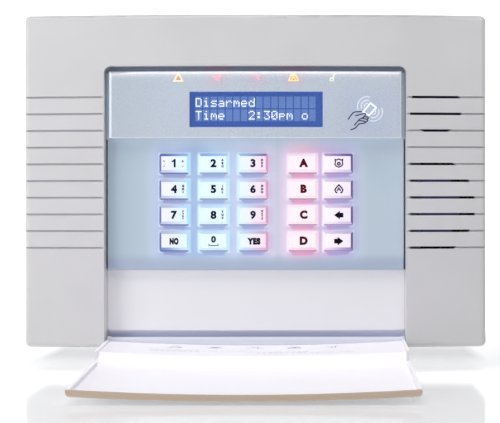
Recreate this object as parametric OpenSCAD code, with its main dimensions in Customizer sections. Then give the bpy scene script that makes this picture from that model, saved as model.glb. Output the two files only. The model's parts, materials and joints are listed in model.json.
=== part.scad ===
// Wall-mounted alarm control panel with a built-in keypad, a two-line display
// and a drop-down flap that covers the keys. Millimetres.
// X runs right across the front, +Y runs into the wall, +Z is up.
// The origin is the middle of the back face, which lies on the wall (Y = 0).
// The front is one shallow cylinder, the bow. Depths below it are called offsets.

/* [Body] */
// Width of the casing
body_w = 281; // [276:1:290]
// Height of the casing
body_h = 202; // [199:1:206]
// Depth of the casing at its middle
body_d = 50; // [49:0.5:54]
// Radius of the bowed front
bow_r = 1500; // [1400:20:1700]
// Thickness of the casing walls
wall = 2.4; // [2:0.1:2.8]
// Radius of the four corners of the outline
corner_r = 4.5; // [3.5:0.5:6]
// Rounding of the front's outer edges
edge_r = 3.2; // [2:0.2:4]

/* [Opening] */
// Half the width of the opening in the front
open_hw = 91.6; // [91.4:0.1:92]
// Top edge of the opening
open_top = 69.7; // [69.5:0.1:70.5]
// Offset of the display section
display_off = 0.6; // [0.3:0.1:1]
// Offset of the face around the keys
keypad_off = 6.6; // [6.4:0.1:7]
// Offset of the plain panel under the keys
plain_off = 10.6; // [10.6:0.1:11.4]

/* [Wings] */
// Number of grooves on each wing
groove_count = 10; // [4:1:10]
// Distance between grooves
groove_pitch = 10.15; // [9.8:0.05:10.15]
// Height of the lowest groove
groove_low = -40.45; // [-41:0.05:-40]
// Depth of a groove
groove_depth = 1; // [0.6:0.1:1.4]
// Height of a slot
slot_h = 1.5; // [0.8:0.05:1.6]

/* [Keys] */
// Width of a key
key_w = 18; // [16:0.5:18]
// Height of a key
key_h = 12.2; // [10:0.2:12.2]
// Height of a key above the face around it
key_rise = 3; // [2:0.1:3.2]
// How far a key travels
key_travel = 1.2; // [0.8:0.1:1.2]
// Gap round a key
key_gap = 0.3; // [0.2:0.05:0.4]

/* [Flap] */
// Angle of the flap from closed to fully open
flap_open = 93; // [60:1:93]
// Half the width of the flap
flap_hw = 91; // [90.8:0.1:91]
// Thickness of the flap's skin
flap_skin = 1.7; // [1.4:0.1:1.8]
// Offset of the flap's rim over the keys
rim_off = 4.2; // [4:0.1:5.6]
// Offset of the flap's taller rim near the hinge
rim_near_off = 9.9; // [9.6:0.1:9.9]

/* [Hidden] */
key_order = [
    "key_1", "key_2", "key_3", "key_a", "key_alarm",
    "key_4", "key_5", "key_6", "key_b", "key_fire",
    "key_7", "key_8", "key_9", "key_c", "key_left",
    "key_no", "key_0", "key_yes", "key_d", "key_right"];

$fn = 48;
bow_fn = 1440;
eps = 0.01;

// Casing
half_w = body_w / 2;
half_h = body_h / 2;
bow_cy = bow_r - body_d;
bow_margin_deg = 1.02;
bow_half_deg = asin(half_w / bow_r) + bow_margin_deg;
inner_hw = half_w - wall;
inner_hh = half_h - wall;
cover_back = -7;
lining = 2;
lining_hw = open_hw + lining;
lining_back = -33;
open_r = 4;
open_edge_r = 1;

// Plain panel under the keys and the trough of the hinge
face_low = -54;
plain_top = face_low - 0.2;
plain_low = -91.2;
panel_t = 2;
trough_back = -33;

// Display section
disp_hw = 89;
disp_low = 26.1;
disp_top = 66.7;
disp_edge_r = 2.5;
disp_corner_r = 3;
window_x = 0.7;
window_z = 43.3;
window_w = 80.6;
window_h = 21.4;
light_x = [-46.1, -22.4, 0.9, 23.5, 46.8];
light_z = 62.4;
reader_x = 67;
reader_z = 39.7;
reader_back = -42.8;
coil_out_r = 11;
coil_in_r = 8;
bond_gap = 0.1;

// Keys: five columns, four rows, counted from the top left
col_x = [-49.3, -25.3, -1.3, 28.8, 50.3];
row_z = [10.5, -5.2, -20.9, -36.7];
key_r = 1.2;
key_bevel = 1.8;
key_flange = 1;
fascia_t = 2;
pad_hw = 70;
pad_low = -48;
pad_top = 22;
pad_back = -39.8;
board_t = 1.6;
dome_top = -37.6;
keymat_front = dome_top + key_travel + 0.1;
keymat_back = keymat_front + 1;
keypad_screw_x = [-66, 13.75, 66];
keypad_screw_z = [14, -40];

// Finger dent below each key
dent_top_hw = 7.2;
dent_low_hw = 5.2;
dent_len = 2.9;
dent_depth = 1.1;

// Display module, behind the face
surround_t = 2;
glass_hw = 41.8;
glass_hh = 12.2;
glass_front = -46.2;
glass_back = -43.8;
module_hw = 44;
module_hh = 14;
guide_hw = 2.6;
guide_below = 2;
guide_above = 1.5;

// Display board
lcd_board_front = -39.4;
lcd_board_hw = 54;
lcd_board_low = 27;
lcd_board_top = 66;
lcd_screw_x = [-50, 50];
lcd_screw_z = [30.5, 58];

// Fascia: skirt, flange and the screws into the cover
skirt_t = 1.8;
flange_hw = 101.5;
flange_top = 78;
flange_front = lining_back + 0.1;
flange_back = flange_front + 1.5;
fascia_screw_x = 97.5;
fascia_screw_z = [60, 30, -46.5];
fascia_screw_r = 1.1;
fascia_boss_r = 2.6;
small_screw_r = 0.9;

// Vents in the right wing: centre x, centre z and radius
vent_a = [109.7, 44.2, 16.1];
vent_b = [102.2, -15.2, 31.8];
vent_left = 94;
slot_back = -40.5;

// Speaker behind the large vent
speaker_front = -30;
speaker_r = 28.5;
speaker_boss_r = 2.3;
magnet_r = 14;
speaker_screw_at = [[60, 34.5], [-60, 34.5], [0, 32.4]];

// Sounder behind the small vent
sounder_r = 15.5;
sounder_front = -41.6;
collar_in_r = 15.7;
collar_out_r = 17.2;
collar_back = -38;
sounder_back = -33.2;
disc_front = -39.8;

// Back plate
plate_t = 2.5;
plate_gap = 0.4;
wall_screw_x = 115;
wall_screw_z = 78;
wall_screw_r = 2.25;
cover_screw_x = 128;
cover_screw_z = 88;
cover_screw_r = 1.5;
cover_boss_r = 3.6;
cover_boss_back = -12;
cover_seat = -8;
entry_z = 80;
entry_r = 10;
entry_bore_r = 7;

// Main board
main_x0 = -85;
main_x1 = 65;
main_z0 = -58;
main_z1 = 52;
main_front = -12;
main_back = main_front + board_t;
main_screw_inset = 5;
main_screw_r = 1.25;

// Cells, laid along X in three columns and two rows
cell_r = 7.1;
cell_len = 49;
cell_nub_r = 2.7;
cell_y = -20;
cell_z = [-69, -84.6];
cell_x = [-75, -25, 25];
holder_hw = 77;
holder_low = -94;
holder_top = -60.2;
holder_back = cell_y + 9.3;

// Tamper switch
tamper_x = -112;
tamper_z = -40;
tamper_shaft_r = 2.5;
tamper_hole_r = 2.6;
tamper_collar_r = 3.7;
spring_turns = 5;
spring_steps = 14;
spring_sides = 6;
spring_wire_r = 0.3;
spring_r = 2.5;
spring_front = -11.6;
spring_rise = 7;

// Hinge
hinge_y = -38.3;
hinge_z = -97.5;
barrel_r = 2.2;
lug_r = 2.6;
pin_r = 1;
pin_bore_r = 1.05;
pin_head_r = 1.8;
pin_head_h = 0.9;
pin_in = 80;
heel_z = -2.5;
flap_top = disp_low - 0.4;
flap_wall = 1.8;
near_len = 42.5;
liner_off = 9;
liner_t = 1.6;

// Y of the bowed front, moved back by off, at the distance x from the middle
function bow_y(x, off = 0) = bow_cy - sqrt(pow(bow_r - off, 2) - x * x);

// ---- Shared shapes ----

module box(x0, x1, y0, y1, z0, z1) {
    translate([x0, y0, z0]) cube([x1 - x0, y1 - y0, z1 - z0]);
}

// Cylinder along Y from y0 to y1
module rod_y(x, z, r, y0, y1) {
    translate([x, y1, z]) rotate([90, 0, 0]) cylinder(r = r, h = y1 - y0);
}

// Cylinder along X from x0 to x1
module rod_x(y, z, r, x0, x1) {
    translate([x0, y, z]) rotate([0, 90, 0]) cylinder(r = r, h = x1 - x0);
}

// Outline in X and Z, given a thickness in Y from y0 to y1
module slab_y(y0, y1) {
    translate([0, y1, 0]) rotate([90, 0, 0]) linear_extrude(y1 - y0) children();
}

// Profile in Y and Z, given a width in X from x0 to x1
module slab_x(x0, x1) {
    translate([x0, 0, 0]) rotate([90, 0, 90]) linear_extrude(x1 - x0) children();
}

// Rectangle with round corners
module round_rect(x0, x1, z0, z1, r) {
    translate([x0 + r, z0]) square([x1 - x0 - 2 * r, z1 - z0]);
    translate([x0, z0 + r]) square([x1 - x0, z1 - z0 - 2 * r]);
    for (x = [x0 + r, x1 - r], z = [z0 + r, z1 - r]) translate([x, z]) circle(r);
}

// Rectangle with round top corners only
module arch_rect(x0, x1, z0, z1, r) {
    translate([x0, z0]) square([x1 - x0, z1 - z0 - r]);
    translate([x0 + r, z0]) square([x1 - x0 - 2 * r, z1 - z0]);
    for (x = [x0 + r, x1 - r]) translate([x, z1 - r]) circle(r);
}

// Layer of the bow between two offsets, upright over z0 to z1
module bow_plate(off0, off1, x0, x1, z0, z1) {
    translate([0, 0, z0]) linear_extrude(z1 - z0) intersection() {
        translate([0, bow_cy]) difference() {
            circle(bow_r - off0, $fn = bow_fn);
            circle(bow_r - off1, $fn = bow_fn);
        }
        translate([x0, -body_d - 1]) square([x1 - x0, body_d]);
    }
}

// Everything behind the bow at an offset, back to y1
module bow_solid(off, x0, x1, y1, z0, z1) {
    translate([0, 0, z0]) linear_extrude(z1 - z0) intersection() {
        translate([0, bow_cy]) circle(bow_r - off, $fn = bow_fn);
        translate([x0, -body_d - 1]) square([x1 - x0, body_d + 1 + y1]);
    }
}

// A profile of radius and height, swept along the bow
module bow_sweep() {
    translate([0, bow_cy, 0]) rotate([0, 0, -90 - bow_half_deg])
        rotate_extrude(angle = 2 * bow_half_deg, $fn = bow_fn) children();
}

// Waste outside a fillet of radius r, between the directions a0 and a1
module fillet_waste(r, a0, a1) {
    mid = (a0 + a1) / 2;
    difference() {
        polygon([[0, 0], 3 * r * [cos(a0), sin(a0)], 5 * r * [cos(mid), sin(mid)],
                 3 * r * [cos(a1), sin(a1)]]);
        circle(r);
    }
}

// Waste that rounds both upright front edges of a body of half width hw
module side_edge_waste(hw, off, r, z0, z1) {
    cx = hw - r;
    tilt = asin(cx / (bow_r - off - r));
    translate([0, 0, z0]) linear_extrude(z1 - z0) for (s = [0, 1]) mirror([s, 0])
        translate([cx, bow_y(cx, off + r)]) fillet_waste(r, -90 + tilt, 0);
}

// Body behind the bow with rounded front edges
module bowed_block(hw, off0, off1, z0, z1, r_top, r_low, r_side) {
    difference() {
        intersection() {
            bow_sweep() difference() {
                translate([bow_r - off1, z0]) square([off1 - off0, z1 - z0]);
                translate([bow_r - off0 - r_top, z1 - r_top]) fillet_waste(r_top, 0, 90);
                translate([bow_r - off0 - r_low, z0 + r_low]) fillet_waste(r_low, -90, 0);
            }
            box(-hw, hw, -body_d - 1, 1, z0 - 1, z1 + 1);
        }
        side_edge_waste(hw, off0, r_side, z0 - 1, z1 + 1);
    }
}

// Waste outside the round upper corners of an outline
module top_corner_waste(hw, z1, r) {
    for (s = [0, 1]) mirror([s, 0, 0]) slab_y(-body_d - 2, 2)
        translate([hw - r, z1 - r]) fillet_waste(r, 0, 90);
}

// ---- Front cover ----

function groove_z(i) = groove_low + i * groove_pitch;

module cover_outer() {
    intersection() {
        bowed_block(half_w, 0, body_d + 2, -half_h, half_h, edge_r, edge_r, edge_r);
        slab_y(-body_d - 1, cover_back) round_rect(-half_w, half_w, -half_h, half_h, corner_r);
    }
}

module opening_outline(grow = 0) {
    arch_rect(-open_hw - grow, open_hw + grow, -inner_hh, open_top + grow, open_r + grow);
}

// Rounded edge of the opening: both sides, the top and the two corners
module opening_edge_waste() {
    r = open_edge_r;
    cx = open_hw + r;
    tilt = asin(cx / (bow_r - r));
    side_z = open_top - open_r;
    translate([0, 0, -half_h - 1]) linear_extrude(side_z + half_h + 1)
        for (s = [0, 1]) mirror([s, 0]) translate([cx, bow_y(cx, r)])
            fillet_waste(r, 180, 270 + tilt);
    intersection() {
        bow_sweep() translate([bow_r - r, open_top + r]) fillet_waste(r, 0, -90);
        box(-open_hw + open_r, open_hw - open_r, -body_d - 2, 0, 0, half_h);
    }
    tx = open_hw - open_r;
    for (s = [0, 1]) mirror([s, 0, 0]) translate([tx, bow_y(tx), side_z])
        rotate([0, 0, asin(tx / bow_r)]) rotate([90, 0, 0])
            rotate_extrude(angle = 90) translate([open_r + r, -r]) fillet_waste(r, 90, 180);
}

module groove_waste(z) {
    d = groove_depth;
    bow_sweep() translate([bow_r, z])
        polygon([[1, 0.65], [-d, 0.5], [-d, -0.35], [-0.45, -0.6], [0, -1.05], [1, -1.3]]);
}

module slots() {
    for (v = [vent_a, vent_b], i = [0 : groove_count - 1])
        if (abs(groove_z(i) - v[1]) < v[2] - slot_h / 2) intersection() {
            rod_y(v[0], v[1], v[2], -body_d - 1, slot_back + 0.5);
            box(vent_left, half_w, -body_d - 1, slot_back,
                groove_z(i) - slot_h / 2, groove_z(i) + slot_h / 2);
        }
}

// Screw boss that starts in the front skin and ends at y1
module cover_boss(x, z, r, y1) {
    rod_y(x, z, r, bow_y(x, wall) - 0.8, y1);
}

module cover_bosses() {
    for (x = [-cover_screw_x, cover_screw_x], z = [-cover_screw_z, cover_screw_z])
        cover_boss(x, z, cover_boss_r, cover_boss_back);
    for (x = [-fascia_screw_x, fascia_screw_x], z = fascia_screw_z)
        cover_boss(x, z, fascia_boss_r, lining_back);
    for (p = speaker_screw_at) cover_boss(vent_b[0] + p[1] * cos(p[0]),
                                          vent_b[1] + p[1] * sin(p[0]), speaker_boss_r, speaker_front);
    difference() {
        cover_boss(vent_a[0], vent_a[1], collar_out_r, collar_back);
        rod_y(vent_a[0], vent_a[1], collar_in_r, -body_d + 4, collar_back + 8);
    }
}

module cover_boss_holes() {
    for (x = [-cover_screw_x, cover_screw_x], z = [-cover_screw_z, cover_screw_z])
        rod_y(x, z, cover_screw_r, cover_boss_back - 14, cover_boss_back + 1);
    for (x = [-fascia_screw_x, fascia_screw_x], z = fascia_screw_z)
        rod_y(x, z, fascia_screw_r, lining_back - 8, lining_back + 1);
    for (p = speaker_screw_at) rod_y(vent_b[0] + p[1] * cos(p[0]), vent_b[1] + p[1] * sin(p[0]),
                                     small_screw_r, speaker_front - 8, speaker_front + 1);
}

// Plain panel, its two returns, and the back of the hinge trough
module plain_panel() {
    hw = open_hw + lining / 2;
    back = trough_back + panel_t;
    bow_plate(plain_off, plain_off + panel_t, -hw, hw, plain_low, plain_top);
    bow_solid(plain_off, -hw, hw, back, plain_low, plain_low + panel_t);
    bow_solid(plain_off + 0.5, -hw, hw, back, plain_top - panel_t, plain_top);
    box(-hw, hw, trough_back, back, -inner_hh - wall / 2, plain_low + panel_t);
}

module front_cover() {
    heel_front = hinge_y + abs(heel_z) + 1;
    color([0.87, 0.86, 0.88]) difference() {
        union() {
            difference() {
                cover_outer();
                difference() {
                    bow_solid(wall, -inner_hw, inner_hw, 1, -inner_hh, inner_hh);
                    bow_solid(wall / 2, -lining_hw, lining_hw, lining_back, -half_h, open_top + lining);
                    cover_bosses();
                }
                slab_y(-body_d - 1, lining_back + eps) opening_outline();
                bow_solid(-5, -lining_hw + lining, lining_hw - lining, heel_front,
                          -half_h - 1, -inner_hh + eps);
                opening_edge_waste();
                for (i = [0 : groove_count - 1]) groove_waste(groove_z(i));
            }
            plain_panel();
        }
        slots();
        cover_boss_holes();
        rod_x(hinge_y, hinge_z, pin_r, -lining_hw - 1, lining_hw + 1);
        for (s = [0, 1]) mirror([s, 0, 0])
            rod_x(hinge_y, hinge_z, pin_head_r + 0.1, lining_hw, lining_hw + pin_head_h + 0.1);
    }
}

// ---- Fascia: the face around the keys, and what carries the display ----

// Finger dent below a key: a wedge that runs out downwards
module key_dent(x, z) {
    top = z - key_h / 2 - key_gap;
    y = bow_y(abs(x), keypad_off);
    intersection() {
        slab_y(y - 2, y + 2)
            polygon([[x - dent_top_hw, top + 0.5], [x + dent_top_hw, top + 0.5], [x + dent_top_hw, top],
                     [x + dent_low_hw, top - dent_len], [x - dent_low_hw, top - dent_len],
                     [x - dent_top_hw, top]]);
        slab_x(x - key_w / 2, x + key_w / 2)
            polygon([[y - 2, top + 1], [y + dent_depth, top + 1], [y + dent_depth - 0.2, top],
                     [y - 0.3, top - dent_len], [y - 2, top - dent_len]]);
    }
}

module fascia_skirt() {
    t = skirt_t;
    difference() {
        bow_solid(keypad_off + 1, -open_hw + 1, open_hw - 1, flange_back, face_low, open_top - 0.2);
        bow_solid(keypad_off, -open_hw + 1 + t, open_hw - 1 - t, 1, face_low + t, open_top - 0.2 - t);
    }
}

module fascia_flange() {
    slab_y(flange_front, flange_back) difference() {
        translate([-flange_hw, face_low + 1]) square([2 * flange_hw, flange_top - face_low - 1]);
        translate([-open_hw + 2, face_low + 2]) square([2 * open_hw - 4, open_top - face_low - 4]);
    }
}

module fascia() {
    skin_y = keypad_off + 1;
    color([0.72, 0.77, 0.83]) difference() {
        union() {
            bowed_block(open_hw - 1, keypad_off, keypad_off + fascia_t, face_low, disp_low + 4,
                        0.5, 0.9, 0.9);
            intersection() {
                bow_plate(keypad_off, keypad_off + fascia_t, -open_hw + 0.2, open_hw - 0.2,
                          disp_low - 0.5, open_top - 0.2);
                slab_y(-body_d, 0)
                    arch_rect(-open_hw + 0.2, open_hw - 0.2, 0, open_top - 0.2, open_r - 0.2);
            }
            intersection() {
                bow_solid(skin_y, -pad_hw, pad_hw, pad_back, pad_low, pad_top);
                box(-pad_hw, pad_hw, -body_d, pad_back, pad_low, pad_top);
            }
            intersection() {
                fascia_skirt();
                slab_y(-body_d, 0)
                    arch_rect(-open_hw + 1, open_hw - 1, face_low, open_top - 0.2, open_r - 0.2);
            }
            fascia_flange();
            for (x = keypad_screw_x, z = keypad_screw_z)
                rod_y(x, z, 2.8, pad_back - 1, keymat_back);
            for (x = lcd_screw_x, z = lcd_screw_z)
                rod_y(x, z, 2.4, bow_y(abs(x), skin_y), lcd_board_front);
            for (x = [reader_x - 13, reader_x + 13], z = [reader_z - 9, reader_z + 12])
                rod_y(x, z, 1.5, reader_back, bow_y(x, skin_y));
        }
        for (x = col_x, z = row_z) {
            slab_y(-body_d, -30)
                round_rect(x - key_w / 2 - key_gap, x + key_w / 2 + key_gap,
                           z - key_h / 2 - key_gap, z + key_h / 2 + key_gap, key_r + key_gap);
            key_dent(x, z);
        }
        box(window_x - module_hw - 2, window_x + module_hw + 2, -body_d, lcd_board_front + 1.4,
            window_z - module_hh - 0.5, window_z + module_hh + 0.5);
        for (x = light_x) box(x - guide_hw - 0.4, x + guide_hw + 0.4, -body_d, lcd_board_front + 1.4,
                              light_z - guide_below - 0.4, light_z + guide_above + 0.4);
        for (x = keypad_screw_x, z = keypad_screw_z)
            rod_y(x, z, small_screw_r, pad_back - 0.5, keymat_back + 1);
        for (x = lcd_screw_x, z = lcd_screw_z)
            rod_y(x, z, small_screw_r, lcd_board_front - 1.6, lcd_board_front + 1);
        for (x = [-fascia_screw_x, fascia_screw_x], z = fascia_screw_z)
            rod_y(x, z, fascia_screw_r + 0.2, flange_front - 1, flange_back + 1);
    }
}

// ---- Display section ----

module display_surround() {
    t = surround_t;
    color([0.74, 0.79, 0.85]) difference() {
        bowed_block(disp_hw, display_off, keypad_off - bond_gap, disp_low, disp_top,
                    disp_edge_r, 0.6, disp_edge_r);
        top_corner_waste(disp_hw, disp_top, disp_corner_r);
        bow_plate(display_off + t, keypad_off + 1, -disp_hw + t, disp_hw - t,
                  disp_low + t, disp_top - t - 0.6);
        box(window_x - window_w / 2, window_x + window_w / 2, -body_d - 1, -30,
            window_z - window_h / 2, window_z + window_h / 2);
    }
}

module display_window() {
    gap = 0.15;
    color([0.35, 0.45, 0.75, 0.5])
        bow_plate(display_off + 0.15, display_off + 1.6, window_x - window_w / 2 + gap,
                  window_x + window_w / 2 - gap, window_z - window_h / 2 + gap,
                  window_z + window_h / 2 - gap);
}

module lcd_glass() {
    color([0.30, 0.38, 0.72])
        box(window_x - glass_hw, window_x + glass_hw, glass_front, glass_back,
            window_z - glass_hh, window_z + glass_hh);
}

module lcd_frame() {
    color([0.2, 0.2, 0.22]) difference() {
        box(window_x - module_hw, window_x + module_hw, glass_front - 0.2, lcd_board_front,
            window_z - module_hh, window_z + module_hh);
        box(window_x - glass_hw + 1.3, window_x + glass_hw - 1.3, glass_front - 1, lcd_board_front - 0.6,
            window_z - glass_hh + 1.3, window_z + glass_hh - 1.3);
        box(window_x - glass_hw - 0.1, window_x + glass_hw + 0.1, glass_front, glass_back + 1.2,
            window_z - glass_hh - 0.1, window_z + glass_hh + 0.1);
    }
}

module lcd_board() {
    color([0.10, 0.35, 0.22]) difference() {
        box(-lcd_board_hw, lcd_board_hw, lcd_board_front, lcd_board_front + board_t,
            lcd_board_low, lcd_board_top);
        for (x = lcd_screw_x, z = lcd_screw_z)
            rod_y(x, z, 1.1, lcd_board_front - 1, lcd_board_front + board_t + 1);
    }
}

module status_light_guides() {
    color([0.9, 0.92, 0.95, 0.6]) for (x = light_x)
        box(x - guide_hw, x + guide_hw, bow_y(abs(x) + guide_hw, display_off + surround_t) + 0.1,
            lcd_board_front - 0.6, light_z - guide_below, light_z + guide_above);
}

// Flat round winding of the proximity reader
module reader_coil() {
    color([0.72, 0.45, 0.20]) difference() {
        rod_y(reader_x, reader_z, coil_out_r, reader_back - 2, reader_back - 1);
        rod_y(reader_x, reader_z, coil_in_r, reader_back - 3, reader_back);
    }
}

module reader_board() {
    color([0.10, 0.35, 0.22])
        box(reader_x - 16, reader_x + 16, reader_back - 1, reader_back,
            reader_z - coil_out_r - 0.2, reader_z + 14.5);
}

// ---- Keypad ----

// One key: bevelled cap, retaining flange and stem, at a column and a row
module key_cap(col, row) {
    x = col_x[col];
    z = row_z[row];
    top = bow_y(abs(x), keypad_off) - key_rise;
    hw = key_w / 2;
    hh = key_h / 2;
    flange_y = pad_back + 0.1;
    tint = col < 3 ? [0.75, 0.9, 1] : col == 3 ? [1, 0.8, 0.88] : [0.88, 0.82, 1];
    color(tint) {
        intersection() {
            slab_y(top, flange_y + eps) round_rect(x - hw, x + hw, z - hh, z + hh, key_r);
            translate([0, 0, z - hh]) linear_extrude(key_h)
                polygon([[x - hw, 0], [x - hw, top + key_bevel], [x - hw + 1.3, top],
                         [x + hw - 1.3, top], [x + hw, top + key_bevel], [x + hw, 0]]);
            slab_x(x - hw, x + hw)
                polygon([[0, z - hh], [top + key_bevel, z - hh], [top, z - hh + 2.5],
                         [top, z + hh - 1.5], [top + key_bevel, z + hh], [0, z + hh]]);
        }
        box(x - hw - 1.1, x + hw + 1.1, flange_y, flange_y + key_flange, z - hh - 1, z + hh + 1);
        box(x - 3.5, x + 3.5, flange_y, dome_top, z - 2.5, z + 2.5);
    }
}

module keymat() {
    color([0.85, 0.87, 0.9]) difference() {
        union() {
            box(-61.5, 61.5, keymat_front, keymat_back, -44.5, 18.5);
            for (x = col_x, z = row_z) translate([x, dome_top, z]) rotate([-90, 0, 0])
                cylinder(r1 = 3.6, r2 = 4.6, h = keymat_front - dome_top + eps);
        }
        for (x = col_x, z = row_z) {
            rod_y(x, z, 2.8, keymat_front - 0.5, keymat_back + 1);
            box(x + 6, x + 8.8, -38, -35, z - 1.2, z + 1.2);
        }
        for (z = keypad_screw_z) rod_y(keypad_screw_x[1], z, 3.2, -38, -35);
    }
}

module keypad_board() {
    color([0.10, 0.35, 0.22]) difference() {
        box(-pad_hw, pad_hw, keymat_back, keymat_back + board_t, pad_low + 1, pad_top - 1);
        for (x = keypad_screw_x, z = keypad_screw_z)
            rod_y(x, z, 1.1, keymat_back - 1, keymat_back + board_t + 1);
    }
}

module key_leds() {
    color([0.95, 0.95, 0.9]) for (x = col_x, z = row_z)
        box(x + 6.5, x + 8.3, keymat_back - 0.7, keymat_back, z - 0.6, z + 0.6);
}

// Pan-head screw along Y, head at the back, its seat at y and its tip towards -Y
module pan_screw(x, z, y, head_r, head_h, shank_r, len) {
    difference() {
        rod_y(x, z, head_r, y, y + head_h);
        box(x - head_r * 0.7, x + head_r * 0.7, y + head_h * 0.45, y + head_h + 1, z - 0.25, z + 0.25);
        box(x - 0.25, x + 0.25, y + head_h * 0.45, y + head_h + 1, z - head_r * 0.7, z + head_r * 0.7);
    }
    rod_y(x, z, shank_r, y - len, y + eps);
}

module keypad_board_screws() {
    color("silver") {
        for (x = keypad_screw_x, z = keypad_screw_z)
            pan_screw(x, z, keymat_back + board_t, 1.9, 1.4, small_screw_r, 5);
        for (x = lcd_screw_x, z = lcd_screw_z)
            pan_screw(x, z, lcd_board_front + board_t, 1.9, 1.4, small_screw_r, 3);
    }
}

module fascia_screws() {
    color("silver") for (x = [-fascia_screw_x, fascia_screw_x], z = fascia_screw_z)
        pan_screw(x, z, flange_back, 2.3, 1.5, fascia_screw_r, 8);
}

// ---- Inside the case ----

module main_board() {
    color([0.10, 0.38, 0.24]) difference() {
        box(main_x0, main_x1, main_front, main_back, main_z0, main_z1);
        for (x = [main_x0 + main_screw_inset, main_x1 - main_screw_inset],
             z = [main_z0 + main_screw_inset, main_z1 - main_screw_inset])
            rod_y(x, z, 1.6, main_front - 1, main_back + 1);
    }
}

// Two rows of screw terminals for the wiring, near the cable entry
module terminal_blocks() {
    color([0.18, 0.42, 0.30]) for (i = [0 : 9]) translate([-52 + i * 10.4, 0, 0]) difference() {
        box(0, 10, main_front - 10, main_front, 40, 50);
        for (x = [2.5, 7.5]) {
            rod_y(x, 45, 1.7, main_front - 11, main_front - 4);
            box(x - 1.7, x + 1.7, main_front - 8, main_front - 4.5, 47.5, 51);
        }
    }
}

// Processor, drivers, relays, capacitors and connectors on the main board
module board_components() {
    y = main_front;
    color([0.12, 0.12, 0.13]) {
        // processor, two drivers and two relays
        box(-20, -2, y - 1.6, y, -10, 8);
        for (z = [[-8, 2], [8, 16]]) box(12, 26, y - 1.8, y, z[0], z[1]);
        for (x = [30, 46]) box(x, x + 13, y - 15, y, 18, 35);
    }
    color([0.25, 0.3, 0.5]) {
        // capacitors and a coin cell
        for (p = [[-50, -20, 5], [-36, -20, 5], [-50, -36, 4]]) rod_y(p[0], p[1], p[2], y - 14, y);
        rod_y(45, -42, 6.3, y - 9, y);
    }
    color([0.9, 0.9, 0.86]) {
        // battery plug and ribbon socket
        box(-46, -28, y - 8, y, -54, -48);
        box(2, 26, y - 4, y, -31, -28.8);
    }
}

module radio_module() {
    y = main_front;
    color([0.12, 0.30, 0.45]) box(-82, -58, y - 1.2, y, 12, 38);
    color([0.75, 0.76, 0.78]) box(-80, -64, y - 4, y - 1.2, 15, 31);
}

// Wire aerial that leaves the radio module and stands beside the boards
module radio_antenna() {
    y = main_front - 2.2;
    color([0.12, 0.12, 0.13]) {
        rod_x(y, 35, 0.6, -96, -78);
        translate([-96, y, 35]) sphere(0.6);
        translate([-96, y, 35]) cylinder(r = 0.6, h = 52);
        translate([-78, y, 35]) sphere(0.6);
        rod_y(-78, 35, 0.6, y, main_front - 1.2);
    }
}

module battery_cells() {
    color([0.25, 0.35, 0.55]) for (x = cell_x, z = cell_z) {
        rod_x(cell_y, z, cell_r, x + 0.4, x + cell_len - 1);
        rod_x(cell_y, z, cell_nub_r, x + cell_len - 1 - eps, x + cell_len);
    }
}

module battery_holder() {
    in_hw = holder_hw - 1.5;
    well_r = cell_r + 0.25;
    color([0.13, 0.13, 0.14]) {
        difference() {
            box(-holder_hw, holder_hw, cell_y - 2, holder_back, holder_low, holder_top);
            for (z = cell_z) {
                rod_x(cell_y, z, well_r, -in_hw, in_hw);
                box(-in_hw, in_hw, cell_y - 3, cell_y, z - well_r, z + well_r);
            }
        }
        for (x = [-70, 70])
            box(x - 4, x + 4, holder_back - eps, -plate_t, holder_low + 4, holder_top - 4);
    }
}

// Twin lead from the holder up to the board connector
module battery_lead() {
    for (i = [0, 1]) color(i == 0 ? [0.7, 0.08, 0.08] : [0.08, 0.08, 0.08])
        translate([-40 + 4 * i, 0, 0]) {
            translate([0, cell_y + 4, holder_top]) cylinder(r = 0.8, h = 6.2);
        }
}

module speaker_basket() {
    y0 = speaker_front;
    color([0.16, 0.16, 0.17]) translate([vent_b[0], 0, vent_b[1]]) difference() {
        union() {
            translate([0, y0, 0]) rotate([-90, 0, 0]) rotate_extrude()
                polygon([[24.5, 0], [speaker_r, 0], [speaker_r, 1.5], [26.5, 1.5], [18, 10],
                         [8, 10], [8, 8.8], [17, 8.8], [24.5, 1.5]]);
            for (p = speaker_screw_at) rotate([0, -p[0], 0]) {
                box(speaker_r - 2, p[1], y0, y0 + 1.5, -speaker_boss_r, speaker_boss_r);
                rod_y(p[1], 0, speaker_boss_r, y0, y0 + 1.5);
            }
        }
        for (p = speaker_screw_at) rotate([0, -p[0], 0]) rod_y(p[1], 0, 1.1, y0 - 1, y0 + 3);
    }
}

module speaker_cone() {
    color([0.22, 0.22, 0.23]) translate([vent_b[0], speaker_front + 0.3, vent_b[1]])
        rotate([-90, 0, 0]) rotate_extrude()
            polygon([[0, 3.2], [5, 3.6], [7, 5.2], [7.2, 6.4], [9, 5.2], [22.5, 0.4], [24.2, 0.4],
                     [24.2, 0.9], [22.8, 0.9], [9.4, 5.8], [7.2, 7.2], [6.5, 6], [4.8, 4.2], [0, 3.8]]);
}

module speaker_magnet() {
    color([0.5, 0.5, 0.52]) translate([vent_b[0], 0, vent_b[1]]) {
        rod_y(0, 0, magnet_r + 1, speaker_front + 10, speaker_front + 11.5);
        rod_y(0, 0, magnet_r, speaker_front + 11.5, speaker_front + 17);
        rod_y(0, 0, magnet_r + 1, speaker_front + 17, speaker_front + 18.5);
    }
}

module speaker_screws() {
    color("silver") for (p = speaker_screw_at)
        pan_screw(vent_b[0] + p[1] * cos(p[0]), vent_b[1] + p[1] * sin(p[0]),
                  speaker_front + 1.5, 1.9, 1.4, small_screw_r, 6);
}

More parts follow.
